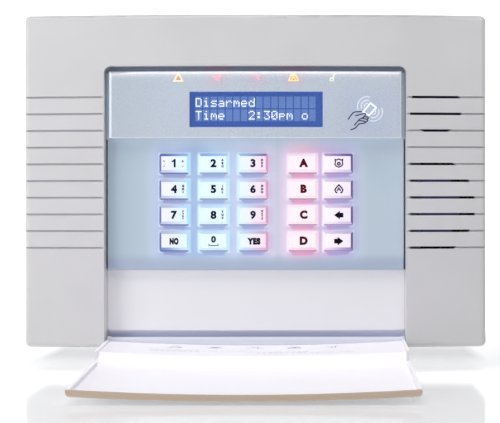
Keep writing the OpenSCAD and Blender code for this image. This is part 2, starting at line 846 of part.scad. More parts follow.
module sounder_case() {
    color([0.14, 0.14, 0.15]) difference() {
        rod_y(vent_a[0], vent_a[1], sounder_r, sounder_front, sounder_back);
        rod_y(vent_a[0], vent_a[1], sounder_r - 1.5, disc_front, sounder_back + 1);
        rod_y(vent_a[0], vent_a[1], sounder_r - 3, sounder_front + 0.8, disc_front + 1);
        rod_y(vent_a[0], vent_a[1], 2, sounder_front - 1, disc_front);
    }
}

module sounder_disc() {
    color([0.78, 0.68, 0.35]) {
        rod_y(vent_a[0], vent_a[1], sounder_r - 1.6, disc_front, disc_front + 0.3);
        rod_y(vent_a[0], vent_a[1], 9, disc_front + 0.3 - eps, disc_front + 0.55);
    }
}

// ---- Back plate ----

module plate_outline(inset, r) {
    round_rect(-half_w + inset, half_w - inset, -half_h + inset, half_h - inset, r);
}

module back_plate() {
    lip_in = wall + 0.3;
    color([0.80, 0.80, 0.81]) difference() {
        union() {
            difference() {
                slab_y(cover_back, 0) plate_outline(plate_gap, corner_r);
                slab_y(cover_back - 1, -plate_t) plate_outline(plate_gap + wall, 2.5);
            }
            slab_y(cover_back - 3, -plate_t) difference() {
                plate_outline(lip_in, 2.2);
                plate_outline(lip_in + 1.8, 1);
            }
            for (x = [-cover_screw_x, cover_screw_x], z = [-cover_screw_z, cover_screw_z])
                rod_y(x, z, 5, cover_boss_back, -1);
            for (x = [main_x0 + main_screw_inset, main_x1 - main_screw_inset],
                 z = [main_z0 + main_screw_inset, main_z1 - main_screw_inset])
                rod_y(x, z, 3.4, main_back, -1);
            rod_y(0, entry_z, entry_r + 2, -7, -1);
        }
        for (x = [-cover_screw_x, cover_screw_x], z = [-cover_screw_z, cover_screw_z]) {
            rod_y(x, z, 3.2, cover_seat, 1);
            rod_y(x, z, cover_screw_r + 0.2, cover_boss_back - 1, 1);
        }
        for (x = [main_x0 + main_screw_inset, main_x1 - main_screw_inset],
             z = [main_z0 + main_screw_inset, main_z1 - main_screw_inset])
            rod_y(x, z, main_screw_r, main_back - 1, -1.5);
        for (x = [-wall_screw_x, wall_screw_x], z = [-wall_screw_z, wall_screw_z])
            rod_y(x, z, wall_screw_r, -5, 1);
        rod_y(0, entry_z, entry_r, -8, 1);
        rod_y(tamper_x, tamper_z, tamper_hole_r, -5, 1);
    }
}

module board_screws() {
    color("silver") for (x = [main_x0 + main_screw_inset, main_x1 - main_screw_inset],
                         z = [main_z0 + main_screw_inset, main_z1 - main_screw_inset])
        mirror([0, 1, 0]) pan_screw(x, z, -main_front, 2.8, 1.9, main_screw_r, 9);
}

module cover_screws() {
    color("silver") for (x = [-cover_screw_x, cover_screw_x], z = [-cover_screw_z, cover_screw_z])
        pan_screw(x, z, cover_seat, 2.9, 2.2, cover_screw_r, 16);
}

module cable_grommet() {
    color([0.12, 0.12, 0.13]) difference() {
        union() {
            rod_y(0, entry_z, entry_r, -8, 0);
            rod_y(0, entry_z, entry_r + 1.6, -8.6, -7);
        }
        rod_y(0, entry_z, entry_bore_r, -9, 1);
    }
}

// Flat cable between the keypad board and the main board
module keypad_ribbon() {
    y0 = keymat_back + board_t;
    color([0.6, 0.62, 0.66]) slab_x(3, 25)
        polygon([[y0, -36], [-29, -36], [-17.5, -29.6], [main_front - 4, -29.6],
                 [main_front - 4, -30.2], [-17.6, -30.2], [-29.2, -36.6], [y0, -36.6]]);
}

// ---- Tamper switch ----

module tamper_housing() {
    color([0.15, 0.15, 0.16]) difference() {
        box(tamper_x - 6, tamper_x + 6, -14, -plate_t, tamper_z - 6, tamper_z + 6);
        rod_y(tamper_x, tamper_z, tamper_collar_r + 0.2, -12, -plate_t + 1);
        rod_y(tamper_x, tamper_z, 1.6, -15, -5);
    }
}

// Plunger with its rear end flush with the wall face
module tamper_plunger() {
    color([0.85, 0.85, 0.86]) {
        rod_y(tamper_x, tamper_z, tamper_shaft_r, -3, 0);
        rod_y(tamper_x, tamper_z, tamper_collar_r, -4.2, -plate_t - 0.05);
        rod_y(tamper_x, tamper_z, 1.5, -12.2, -4.2 + eps);
    }
}

// Point j round the wire, at step i along the coil
function coil_point(i, j) = let(
        a = 360 * i / spring_steps,
        b = 360 * j / spring_sides,
        r = spring_r + spring_wire_r * cos(b),
        y = spring_front + spring_rise * i / (spring_turns * spring_steps) + spring_wire_r * sin(b))
    [r * cos(a), y, r * sin(a)];

module tamper_spring() {
    rings = spring_turns * spring_steps;
    n = spring_sides;
    points = [for (i = [0 : rings], j = [0 : n - 1]) coil_point(i, j)];
    sides = [for (i = [0 : rings - 1], j = [0 : n - 1])
        [i * n + j, i * n + (j + 1) % n, (i + 1) * n + (j + 1) % n, (i + 1) * n + j]];
    cap_a = [for (j = [n - 1 : -1 : 0]) j];
    cap_b = [for (j = [0 : n - 1]) rings * n + j];
    color("silver") translate([tamper_x, 0, tamper_z])
        polyhedron(points, concat(sides, [cap_a, cap_b]), convexity = 8);
}

// ---- Flap, modelled closed and then swung open about the hinge ----

module swung_open() {
    translate([0, hinge_y, hinge_z]) rotate([flap_open, 0, 0])
        translate([0, -hinge_y, -hinge_z]) children();
}

// Solid form of the flap from the skin to the rim
module flap_form() {
    low = hinge_z + heel_z;
    difference() {
        bowed_block(flap_hw, 0, rim_off, low, flap_top, edge_r, 1, edge_r);
        top_corner_waste(flap_hw, flap_top, open_r);
        bow_sweep() translate([bow_r - rim_off + 1, flap_top - 1]) fillet_waste(1, 90, 180);
    }
    bowed_block(flap_hw, 0, rim_near_off, low, hinge_z + near_len, 0.6, 1, edge_r);
}

module flap_shell() {
    in_hw = flap_hw - flap_wall;
    web_top = hinge_z + barrel_r;
    color([0.96, 0.95, 0.97]) swung_open() difference() {
        union() {
            difference() {
                flap_form();
                bow_solid(flap_skin, -in_hw, in_hw, 1, hinge_z + heel_z - 1, flap_top - flap_wall);
            }
            intersection() {
                bow_solid(flap_skin / 2, -flap_hw, flap_hw, hinge_y, hinge_z + heel_z, web_top);
                box(-flap_hw, flap_hw, -body_d, hinge_y, hinge_z + heel_z, web_top);
            }
            rod_x(hinge_y, hinge_z, barrel_r, -flap_hw, flap_hw);
            for (x = [-flap_hw, flap_hw - 2.3]) rod_x(hinge_y, hinge_z, lug_r, x, x + 2.3);
        }
        for (x = [-flap_hw - 1, pin_in - 1])
            rod_x(hinge_y, hinge_z, pin_bore_r, x, x + flap_hw + 2 - pin_in);
    }
}

// Inner panel near the hinge: a hollow step that carries the user's notes
module flap_liner() {
    hw = flap_hw - flap_wall - 0.15;
    z0 = hinge_z + lug_r + 0.1;
    z1 = hinge_z + near_len - 3;
    run = 7;
    floor_r = bow_r - flap_skin - 0.05;
    top_r = bow_r - liner_off;
    color([0.98, 0.97, 0.98]) swung_open() intersection() {
        bow_sweep() polygon([
            [floor_r, z0], [top_r, z0], [top_r, z1], [floor_r, z1 + run], [floor_r, z1 + run - 2],
            [top_r + liner_t, z1 - 1], [top_r + liner_t, z0 + liner_t], [floor_r, z0 + liner_t]]);
        box(-hw, hw, -body_d - 1, 1, z0 - 1, z1 + run + 1);
    }
}

module hinge_pins() {
    color("silver") for (s = [0, 1]) mirror([s, 0, 0]) {
        rod_x(hinge_y, hinge_z, pin_r, pin_in + 0.5, lining_hw + eps);
        rod_x(hinge_y, hinge_z, pin_head_r, lining_hw, lining_hw + pin_head_h);
    }
}

back_plate();
front_cover();
fascia();
display_surround();
display_window();
lcd_glass();
lcd_frame();
lcd_board();
status_light_guides();
reader_coil();
reader_board();
keymat();
keypad_board();
key_leds();
main_board();
terminal_blocks();
board_components();
radio_module();
radio_antenna();
battery_cells();
battery_holder();
battery_lead();
speaker_basket();
speaker_cone();
speaker_magnet();
speaker_screws();
sounder_case();
sounder_disc();
tamper_housing();
tamper_spring();
tamper_plunger();
board_screws();
keypad_board_screws();
fascia_screws();
cover_screws();
hinge_pins();
keypad_ribbon();
cable_grommet();
flap_shell();
flap_liner();
for (i = [0 : len(key_order) - 1])
    key_cap(i % 5, floor(i / 5));
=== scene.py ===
"""The looks of the alarm keypad panel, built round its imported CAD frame. Metres, same axes as the CAD.

X runs right across the front, +Y runs into the wall and +Z is up. Prints and lit signs are thin plates
laid on the CAD faces by rays, so they follow the bowed front and the open flap.
"""

import json
import math
from collections import namedtuple

import bmesh
import bpy
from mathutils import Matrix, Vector
from mathutils.bvhtree import BVHTree

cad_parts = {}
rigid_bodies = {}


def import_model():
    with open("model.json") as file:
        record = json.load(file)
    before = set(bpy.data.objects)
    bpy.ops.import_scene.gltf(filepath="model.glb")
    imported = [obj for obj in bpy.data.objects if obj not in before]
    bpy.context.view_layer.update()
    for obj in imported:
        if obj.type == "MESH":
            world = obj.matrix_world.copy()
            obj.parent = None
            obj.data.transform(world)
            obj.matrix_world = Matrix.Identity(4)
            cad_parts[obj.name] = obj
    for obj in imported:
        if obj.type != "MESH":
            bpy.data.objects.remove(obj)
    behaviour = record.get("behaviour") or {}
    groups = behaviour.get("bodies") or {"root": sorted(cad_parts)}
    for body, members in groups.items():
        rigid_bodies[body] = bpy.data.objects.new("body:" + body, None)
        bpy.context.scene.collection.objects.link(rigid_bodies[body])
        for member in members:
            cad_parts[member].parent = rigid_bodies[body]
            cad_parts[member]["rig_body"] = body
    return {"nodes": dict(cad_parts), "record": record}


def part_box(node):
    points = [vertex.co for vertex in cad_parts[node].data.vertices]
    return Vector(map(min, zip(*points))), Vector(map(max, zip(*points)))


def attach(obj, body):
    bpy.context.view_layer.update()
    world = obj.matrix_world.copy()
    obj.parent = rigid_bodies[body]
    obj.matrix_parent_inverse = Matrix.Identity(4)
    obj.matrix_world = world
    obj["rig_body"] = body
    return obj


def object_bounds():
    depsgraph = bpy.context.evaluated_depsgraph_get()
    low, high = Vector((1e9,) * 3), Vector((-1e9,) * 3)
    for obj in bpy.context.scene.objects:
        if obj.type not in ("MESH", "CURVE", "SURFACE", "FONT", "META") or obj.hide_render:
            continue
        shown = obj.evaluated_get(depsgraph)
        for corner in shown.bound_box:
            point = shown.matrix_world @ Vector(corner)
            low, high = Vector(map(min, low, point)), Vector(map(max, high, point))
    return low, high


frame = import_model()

MM = 0.001
NODES = frame["nodes"]
cad_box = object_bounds()

ACROSS = Vector((1, 0, 0))
UP = Vector((0, 0, 1))
INTO_WALL = Vector((0, 1, 0))
DOWN = Vector((0, 0, -1))


def mm(*sizes):
    return tuple(size * MM for size in sizes)


# ---------------------------------------------------------------- colour helpers

WHITE = (1, 1, 1, 1)
BLACK = (0, 0, 0, 1)


def linear(level):
    """The light, from 0 to 1, of an sRGB level from 0 to 255."""
    share = level / 255
    return share / 12.92 if share <= 0.04045 else ((share + 0.055) / 1.055) ** 2.4


def srgb(r, g, b):
    """A colour given from 0 to 255 as the eye sees it, as the linear colour that a shader takes."""
    return linear(r), linear(g), linear(b), 1


def blend_colour(a, b, share):
    return tuple(x + (y - x) * share for x, y in zip(a, b))


# ---------------------------------------------------------------- material graph


class Graph:
    """A material's node tree, with one short method for each kind of node it uses."""

    def __init__(self, name, slot_colour):
        self.material = bpy.data.materials.new(name)
        self.material.use_nodes = True
        self.material.diffuse_color = slot_colour
        self.tree = self.material.node_tree
        self.shader = self.tree.nodes["Principled BSDF"]
        self.coords = self.tree.nodes.new("ShaderNodeTexCoord")

    def put(self, socket, value):
        if isinstance(value, bpy.types.NodeSocket):
            self.tree.links.new(value, socket)
        else:
            socket.default_value = value

    def math(self, operation, *values):
        node = self.tree.nodes.new("ShaderNodeMath")
        node.operation = operation
        for socket, value in zip(node.inputs, values):
            self.put(socket, value)
        return node.outputs[0]

    def axes(self, output="Object"):
        node = self.tree.nodes.new("ShaderNodeSeparateXYZ")
        self.put(node.inputs[0], self.coords.outputs[output])
        return node.outputs

    def noise(self, scale, detail=4, stretch=(1, 1, 1)):
        mapping = self.tree.nodes.new("ShaderNodeMapping")
        self.put(mapping.inputs["Vector"], self.coords.outputs["Object"])
        mapping.inputs["Scale"].default_value = stretch
        node = self.tree.nodes.new("ShaderNodeTexNoise")
        self.put(node.inputs["Vector"], mapping.outputs[0])
        node.inputs["Scale"].default_value = scale
        node.inputs["Detail"].default_value = detail
        return node.outputs["Fac"]

    def wave(self, scale, kind, direction):
        """Even ripples: RINGS round a direction or BANDS across it."""
        node = self.tree.nodes.new("ShaderNodeTexWave")
        node.wave_type = kind
        setattr(node, kind.lower() + "_direction", direction)
        node.inputs["Scale"].default_value = scale
        self.put(node.inputs["Vector"], self.coords.outputs["Object"])
        return node.outputs["Fac"]

    def cells(self, scale):
        """The distance from the walls of a honeycomb of irregular cells."""
        node = self.tree.nodes.new("ShaderNodeTexVoronoi")
        node.feature = "DISTANCE_TO_EDGE"
        node.inputs["Scale"].default_value = scale
        self.put(node.inputs["Vector"], self.coords.outputs["Object"])
        return node.outputs["Distance"]

    def span(self, value, low, high, out_low=0.0, out_high=1.0):
        """The value, taken smoothly from the range low..high to out_low..out_high, and held at both ends."""
        node = self.tree.nodes.new("ShaderNodeMapRange")
        node.interpolation_type = "SMOOTHSTEP"
        for socket, given in zip(node.inputs, (value, low, high, out_low, out_high)):
            self.put(socket, given)
        return node.outputs[0]

    def mix(self, share, a, b):
        """The colour a where share is 0, going over to b where it is 1."""
        node = self.tree.nodes.new("ShaderNodeMix")
        node.data_type = "RGBA"
        colours = [s for s in node.inputs if s.type == "RGBA"]
        self.put(node.inputs[0], share)
        self.put(colours[0], a)
        self.put(colours[1], b)
        return next(s for s in node.outputs if s.type == "RGBA")

    def ramp(self, value, stops):
        """A colour that changes along value, given as (value in metres, colour) stops."""
        node = self.tree.nodes.new("ShaderNodeValToRGB")
        low, high = stops[0][0], stops[-1][0]
        self.put(node.inputs[0], self.math("DIVIDE", self.math("SUBTRACT", value, low), high - low))
        elements = node.color_ramp.elements
        while len(elements) < len(stops):
            elements.new(0.5)
        for element, (place, colour) in zip(elements, stops):
            element.position = (place - low) / (high - low)
            element.color = colour
        return node.outputs[0]

    def beyond(self, value, centres, half):
        """How far value lies outside the nearest of several equal spans, and 0 inside one."""
        gaps = [self.math("ABSOLUTE", self.math("SUBTRACT", value, c)) for c in centres]
        nearest = gaps[0]
        for gap in gaps[1:]:
            nearest = self.math("MINIMUM", nearest, gap)
        return self.math("MAXIMUM", self.math("SUBTRACT", nearest, half), 0)

    def near_box(self, place, reach):
        """1 inside a rectangle, falling off to 0 at reach outside it.

        The place is the rectangle's middle in X and in Z, and half its width and height.
        """
        mid_x, mid_z, half_w, half_h = place
        x, _, z = self.axes()
        away = self.length(self.beyond(x, [mid_x], half_w), self.beyond(z, [mid_z], half_h))
        return self.span(away, 0, reach, 1, 0)

    def length(self, a, b):
        return self.math("SQRT", self.math("ADD", self.math("MULTIPLY", a, a), self.math("MULTIPLY", b, b)))

    def bump(self, height, distance):
        node = self.tree.nodes.new("ShaderNodeBump")
        node.inputs["Distance"].default_value = distance
        self.put(node.inputs["Height"], height)
        self.put(self.shader.inputs["Normal"], node.outputs[0])

    def set(self, **values):
        names = {"colour": "Base Color", "rough": "Roughness", "metal": "Metallic", "alpha": "Alpha",
                 "coat": "Coat Weight", "coat_rough": "Coat Roughness", "specular": "Specular IOR Level",
                 "glow": "Emission Color", "glow_strength": "Emission Strength", "ior": "IOR"}
        for key, value in values.items():
            self.put(self.shader.inputs[names[key]], value)
        return self


# ---------------------------------------------------------------- materials


def moulded(name, colour, rough=0.42, grain=0.35, depth=0.012, coat=0.0, tint=0.04):
    """Injection-moulded plastic: a fine spark-eroded grain, faint flow clouds and uneven gloss."""
    g = Graph(name, colour)
    clouds = g.noise(18, 3)
    pits = g.noise(1 / (grain * MM), 5)
    gloss = g.math("ADD", g.math("MULTIPLY", pits, 0.5), g.math("MULTIPLY", clouds, 0.5))
    g.set(colour=g.mix(g.span(clouds, 0.35, 0.65), colour, blend_colour(colour, BLACK, tint)),
          rough=g.span(gloss, 0.3, 0.7, rough - 0.06, rough + 0.06), coat=coat, coat_rough=0.12)
    g.bump(pits, depth * MM)
    return g


# The bowed front is a cylinder about an upright axis: its radius and its axis's Y, in metres.
BOW_RADIUS, BOW_AXIS_Y = 1.5, 1.45
# Stretches of the front that have no CAD node of their own: the plain recess below the keys and the
# trough of the hinge, as near_box takes them, where the wings begin, and how far up and down grooves go.
PLAIN_RECESS = mm(0, -74, 90.5, 19)
HINGE_TROUGH = mm(0, -96.5, 90.5, 3.5)
WINGS_FROM, WINGS_TO = mm(92.5, 93.5)
GROOVES_END = 66 * MM


def cover_material(name, colour):
    """The casing's moulding, with painted light and shade: painted light from the open flap fills its
    recess, the hinge trough has a cool painted shade, and its grooves have painted shade with a painted
    highlight on their lower lips.
    """
    g = moulded(name, colour)
    x, y, z = g.axes()
    shade = g.shader.inputs["Base Color"].links[0].from_socket
    # painted light: the plain recess below the keys is lightened and given a faint glow, as the open flap's
    # light would fill it
    recess = g.near_box(PLAIN_RECESS, 1 * MM)
    shade = g.mix(recess, shade, srgb(250, 249, 253))
    # painted shade: the hinge trough is made darker and bluer
    shade = g.mix(g.math("MULTIPLY", g.near_box(HINGE_TROUGH, 1 * MM), 0.9), shade, srgb(222, 228, 254))
    from_axis = g.length(x, g.math("SUBTRACT", BOW_AXIS_Y, y))
    sunk = g.span(from_axis, BOW_RADIUS - 0.1 * MM, BOW_RADIUS - 0.6 * MM)
    wing = g.span(g.math("ABSOLUTE", x), WINGS_FROM, WINGS_TO)
    normal = g.axes("Normal")
    wing = g.math("MULTIPLY", wing, g.span(g.math("ABSOLUTE", normal[0]), 0.3, 0.15))
    beside = g.math("LESS_THAN", g.math("ABSOLUTE", z), GROOVES_END)
    # painted shade in the grooves on the wings, darkest on their downward faces, with a painted highlight on
    # their upward lower lips
    groove_shade = g.math("MULTIPLY", g.math("MULTIPLY", sunk, wing), beside)
    lip_highlight = g.math("MULTIPLY", groove_shade, g.span(normal[2], 0.2, 0.5))
    groove_shade = g.math("MULTIPLY", groove_shade, g.span(normal[2], 0.15, -0.3, 0.25, 0.85))
    shade = g.mix(groove_shade, shade, srgb(112, 112, 130))
    shade = g.mix(lip_highlight, shade, srgb(246, 246, 250))
    g.set(colour=shade, glow=shade, glow_strength=g.math("MULTIPLY", recess, 0.03))
    return g.material


def painted_edge_light(g, colour, bright, square_on):
    """Painted highlight: lightens a moulding where its rounded edge turns away from the front, as clear
    plastic does under light.
    """
    facing = g.math("MULTIPLY", g.axes("Normal")[1], -1)
    return g.mix(g.span(facing, square_on, 0.995, 1, 0), colour, bright)


FLANGE = 1.1 * MM  # a key's hidden flange, which makes its box wider than its cap on all sides
CAP_EDGE = 1.5 * MM  # how far in from the box's sides a cap's face begins
# The dark line along a cap's lower side is a painted shadow.
LOW_LINE = 1.1 * MM  # the height of the dark line along a cap's lower side

# The colours of one column's keys, painted light and shade from the backlight: of the face, the upper bevel
# and the lower bevel at their left and right ends, and of the bevels at the left and right sides.
Look = namedtuple("Look", "keys face_left face_right top_left top_right low_left low_right left right")
KEY_COLUMNS = [
    Look(("1", "4", "7", "no"), (238, 236, 248), (224, 244, 250), (76, 88, 150), (140, 176, 218),
         (112, 136, 198), (204, 230, 248), (84, 98, 164), (184, 232, 248)),
    Look(("2", "5", "8", "0"), (228, 246, 252), (228, 246, 250), (128, 166, 208), (156, 196, 228),
         (206, 234, 248), (200, 228, 247), (214, 240, 250), (206, 238, 250)),
    Look(("3", "6", "9", "yes"), (230, 244, 252), (250, 222, 236), (150, 186, 220), (116, 106, 164),
         (198, 226, 246), (222, 170, 210), (204, 232, 247), (224, 160, 200)),
    Look(("a", "b", "c", "d"), (254, 238, 243), (253, 240, 243), (248, 210, 226), (248, 218, 232),
         (252, 214, 228), (246, 200, 220), (252, 224, 234), (250, 220, 232)),
    Look(("alarm", "fire", "left", "right"), (253, 243, 249), (242, 232, 249), (172, 140, 190),
         (92, 72, 142), (236, 214, 238), (148, 128, 194), (250, 232, 244), (104, 82, 154)),
]
KEY_ROWS = [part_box("key_" + key) for key in KEY_COLUMNS[0].keys]


def key_material(column, look):
    """Translucent cap lit from behind, with painted light and shade: each bevel is painted the colour of the
    light that reaches it.

    The row nearest the upper edge has the darkest painted upper bevels, and the lowest row the darkest
    painted lower ones.
    """
    face_left = srgb(*look.face_left)
    g = Graph(f"key_column_{column}", face_left)
    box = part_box("key_" + look.keys[0])
    x, _, z = g.axes()
    across = g.span(x, box[0].x + CAP_EDGE, box[1].x - CAP_EDGE)
    face = g.mix(across, face_left, srgb(*look.face_right))
    first_gap = (KEY_ROWS[0][0].z + KEY_ROWS[1][1].z) / 2
    last_gap = (KEY_ROWS[2][0].z + KEY_ROWS[3][1].z) / 2
    below_first = g.math("LESS_THAN", z, first_gap)
    above_last = g.math("GREATER_THAN", z, last_gap)
    # painted shade: the upper bevels stay darkest on the first row and the lower bevels on the last row
    top = g.mix(across, srgb(*look.top_left), srgb(*look.top_right))
    top = g.mix(g.math("MULTIPLY", below_first, 0.5), top, face)
    low = g.mix(across, srgb(*look.low_left), srgb(*look.low_right))
    low = g.mix(g.math("MULTIPLY", above_last, 0.55), low, face)
    rows = [(a.z + b.z) / 2 for a, b in KEY_ROWS]
    half_h = (box[1].z - box[0].z) / 2 - FLANGE
    # painted shadow: a dark line along each cap's lower side
    edge = g.span(g.beyond(z, rows, half_h - LOW_LINE), 0.1 * MM, 0.6 * MM, 0, 0.9)
    low = g.mix(edge, low, blend_colour(srgb(*look.low_left), srgb(58, 58, 112), 0.7))
    normal = g.axes("Normal")
    colour = face
    left, right = srgb(*look.left), srgb(*look.right)
    # painted light and shade: each bevel takes its tone by the way it faces
    for axis, sign, tone in ((2, 1, top), (2, -1, low), (0, -1, left), (0, 1, right)):
        turned = g.span(g.math("MULTIPLY", normal[axis], sign), 0.22, 0.5)
        colour = g.mix(turned, colour, tone)
    grain = g.noise(2600, 4)
    g.set(colour=colour, glow=colour, glow_strength=0.28, rough=g.span(grain, 0.3, 0.7, 0.26, 0.36),
          coat=0.2, coat_rough=0.1)
    g.bump(grain, 0.006 * MM)
    return g.material


# X in millimetres and the colour there, of the painted light that the keys spill and of the painted light
# and shade in their finger dents.
SPILL = [
    (-68, (204, 220, 236)), (-58, (192, 206, 240)), (-49, (194, 210, 244)), (-37, (168, 194, 236)),
    (-25, (196, 222, 248)), (-12, (208, 218, 248)), (0, (218, 218, 246)), (10, (226, 220, 246)),
    (18, (238, 218, 242)), (29, (252, 204, 226)), (39, (230, 194, 232)), (50, (212, 204, 242)),
    (60, (204, 208, 242)), (69, (208, 220, 236)),
]
DENT_LIGHT_SHADE = [
    (-60, (170, 174, 220)), (-37, (176, 186, 226)), (-25, (174, 190, 230)), (-1, (178, 182, 228)),
    (14, (214, 180, 220)), (29, (244, 168, 204)), (40, (216, 170, 216)), (50, (186, 172, 222)),
    (62, (178, 172, 222)),
]

FLAKE = 2200  # how many flakes of the satin paint there are to the metre


def shade_left(g, colour, tone):
    """Painted shade: darkens the side that faces the key light."""
    middle, side = mm(-45, -88)
    return g.mix(g.span(g.axes()[0], middle, side, 0, 0.7), colour, tone)


def along_x(g, stops):
    return g.ramp(g.axes()[0], [(x * MM, srgb(*colour)) for x, colour in stops])


def fascia_material(name, paint):
    """Silver-blue satin paint round the keys, with painted light and shade: the keys' spilt light is painted
    onto it and into the finger dents, with painted highlights and glints round the keys and painted shade
    above the display and below the keys.
    """
    g = Graph(name, paint)
    flake = g.noise(FLAKE, 3)
    clouds = g.noise(22, 3)
    colour = g.mix(g.span(clouds, 0.3, 0.7), paint, srgb(208, 225, 240))
    colour = shade_left(g, colour, srgb(190, 208, 222))
    colour = painted_edge_light(g, colour, srgb(236, 246, 252), 0.6)
    x, _, z = g.axes()
    low, high = KEY_ROWS[0]
    half_w, half_h = (high.x - low.x) / 2 - FLANGE, (high.z - low.z) / 2 - FLANGE
    heads = [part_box("key_" + look.keys[0]) for look in KEY_COLUMNS]
    columns = [(a.x + b.x) / 2 for a, b in heads]
    rows = [(a.z + b.z) / 2 for a, b in KEY_ROWS]
    away = g.length(g.beyond(x, columns, half_w), g.beyond(z, rows, half_h))
    # painted light: the keys' spill round each key
    halo = g.math("MULTIPLY", g.span(away, 1 * MM, 11 * MM, 1, 0), 0.9)
    colour = g.mix(halo, colour, along_x(g, SPILL))
    normal = g.axes("Normal")
    dent = g.span(normal[2], 0.2, 0.4)
    colour = g.mix(g.math("MULTIPLY", dent, halo), colour, along_x(g, DENT_LIGHT_SHADE))
    # painted highlight round each key opening, and painted glints on the dents' slanted ends
    rim_highlight = g.math("MULTIPLY", g.span(away, 1.6 * MM, 0.5 * MM), g.span(normal[2], 0.15, 0.05))
    colour = g.mix(g.math("MULTIPLY", rim_highlight, 0.8), colour, srgb(232, 242, 255))
    glint = g.math("MULTIPLY", g.span(g.math("ABSOLUTE", normal[0]), 0.25, 0.5), halo)
    colour = g.mix(glint, colour, srgb(236, 242, 255))
    # painted shade in the gap above the display
    gap_shade = g.span(z, 65.8 * MM, 66.6 * MM, 0, 0.85)
    colour = g.mix(gap_shade, colour, srgb(120, 130, 156))
    # painted shade, darker towards the bottom below the keys
    low_shade = g.span(z, -43 * MM, -50 * MM, 0, 0.7)
    colour = g.mix(low_shade, colour, srgb(178, 192, 220))
    # painted light: red glow from the red status lights in the gap above the display
    for red_x, reach in (mm(-22, 8), mm(24, 14)):
        red = g.near_box((red_x, *mm(69, 4, 1.2)), reach)
        colour = g.mix(g.math("MULTIPLY", red, 0.35), colour, srgb(196, 110, 140))
    # painted glow where the keys' light spills and fills the dents
    glow = g.math("MULTIPLY", halo, g.math("ADD", 0.18, g.math("MULTIPLY", dent, 0.2)))
    g.set(colour=colour, rough=g.span(flake, 0.3, 0.7, 0.3, 0.42), metal=0.1, coat=0.2, coat_rough=0.2,
          glow=colour, glow_strength=glow)
    g.bump(flake, 0.006 * MM)
    return g.material


def display_material(name, paint):
    """The display section's satin paint under a clear edge, with painted highlights on that edge and along
    the top, painted glows round the reader and three of the signs, a faint painted glow of its own and
    painted shade on the left.
    """
    g = Graph(name, paint)
    flake = g.noise(FLAKE, 3)
    colour = g.mix(g.span(g.noise(16, 3), 0.3, 0.7), paint, srgb(207, 218, 231))
    colour = shade_left(g, colour, srgb(192, 204, 216))
    # painted light round the card reader
    reader_light = g.near_box(mm(67, 40, 6, 6), 16 * MM)
    colour = g.mix(g.math("MULTIPLY", reader_light, 0.35), colour, srgb(190, 206, 238))
    low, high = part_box("display_window")
    window = (low.x + high.x) / 2, (low.z + high.z) / 2, (high.x - low.x) / 2, (high.z - low.z) / 2
    colour = g.mix(g.near_box(window, 1.2 * MM), colour, srgb(196, 214, 255))
    # painted pink glow near three of the status signs
    for warm_x in (-22.4, 0.9, 23.5):
        warm = g.near_box(mm(warm_x, 63, 3, 2), 7 * MM)
        colour = g.mix(g.math("MULTIPLY", warm, 0.3), colour, srgb(240, 190, 216))
    # painted highlight along the top rounding
    upper = g.span(g.axes()[2], 61.5 * MM, 65.5 * MM, 0, 0.85)
    colour = g.mix(upper, colour, srgb(246, 248, 255))
    colour = painted_edge_light(g, colour, srgb(246, 250, 255), 0.72)
    # a faint painted glow over the whole section
    g.set(colour=colour, rough=g.span(flake, 0.3, 0.7, 0.24, 0.34), metal=0.1, coat=0.5, coat_rough=0.08,
          glow=srgb(214, 206, 232), glow_strength=0.06)
    g.bump(flake, 0.004 * MM)
    return g.material


def lit(name, colour, strength, uneven=0.15):
    """A printed sign or light pipe with light behind it, slightly uneven."""
    g = Graph(name, colour)
    shade = g.mix(g.span(g.noise(900, 3), 0.3, 0.7), colour, blend_colour(colour, WHITE, uneven))
    g.set(colour=g.mix(0.6, shade, BLACK), glow=shade, glow_strength=strength, rough=0.3)
    return g.material


def ink(name, colour):
    """Screen-printed ink, a little uneven in how dense it is."""
    g = Graph(name, colour)
    grain = g.noise(2400, 4)
    thin = blend_colour(colour, WHITE, 0.01)
    g.set(colour=g.mix(g.span(grain, 0.35, 0.75), colour, thin), rough=0.5, specular=0.05)
    g.bump(grain, 0.003 * MM)
    return g.material


def brushed(name, colour, rough, stretch=(1, 1, 12)):
    """Bare metal with fine lines, which run across the axis that has the largest number in stretch."""
    g = Graph(name, colour)
    lines = g.noise(900, 4, stretch)
    g.set(colour=g.mix(g.span(lines, 0.3, 0.7), colour, blend_colour(colour, BLACK, 0.12)),
          metal=1, rough=g.span(lines, 0.3, 0.7, rough - 0.08, rough + 0.1))
    g.bump(lines, 0.004 * MM)
    return g.material


def circuit_board(name, mask):
    """Solder mask over etched tracks, which show as a raised, lighter web."""
    g = Graph(name, mask)
    web = g.span(g.cells(420), 0.06, 0.1, 1, 0)
    g.set(colour=g.mix(web, mask, srgb(36, 130, 80)), rough=0.28, coat=0.4, coat_rough=0.15)
    g.bump(web, 0.03 * MM)
    return g.material


def enamelled_wire(name, colour, pitch):
    """The turns of a wound coil, in rings round the CAD origin."""
    g = Graph(name, colour)
    turns = g.wave(1 / pitch, "RINGS", "SPHERICAL")
    g.set(colour=g.mix(turns, blend_colour(colour, BLACK, 0.5), colour), metal=0.9, rough=0.32)
    g.bump(turns, 0.05 * MM)
    return g.material


def ribbon_cable(name, colour):
    """Flat cable, its cores side by side."""
    g = Graph(name, colour)
    cores = g.wave(250, "BANDS", "X")
    g.set(colour=g.mix(cores, srgb(120, 122, 130), colour), rough=0.45)
    g.bump(cores, 0.1 * MM)
    return g.material


def window_glass(name):
    """A clear window with a faint blue haze."""
    g = Graph(name, srgb(214, 226, 250))
    haze = g.noise(60, 2)
    g.set(colour=srgb(120, 150, 220), alpha=g.span(haze, 0.4, 0.6, 0.03, 0.05), ior=1.45,
          rough=g.span(haze, 0.4, 0.6, 0.03, 0.06))
    return g.material


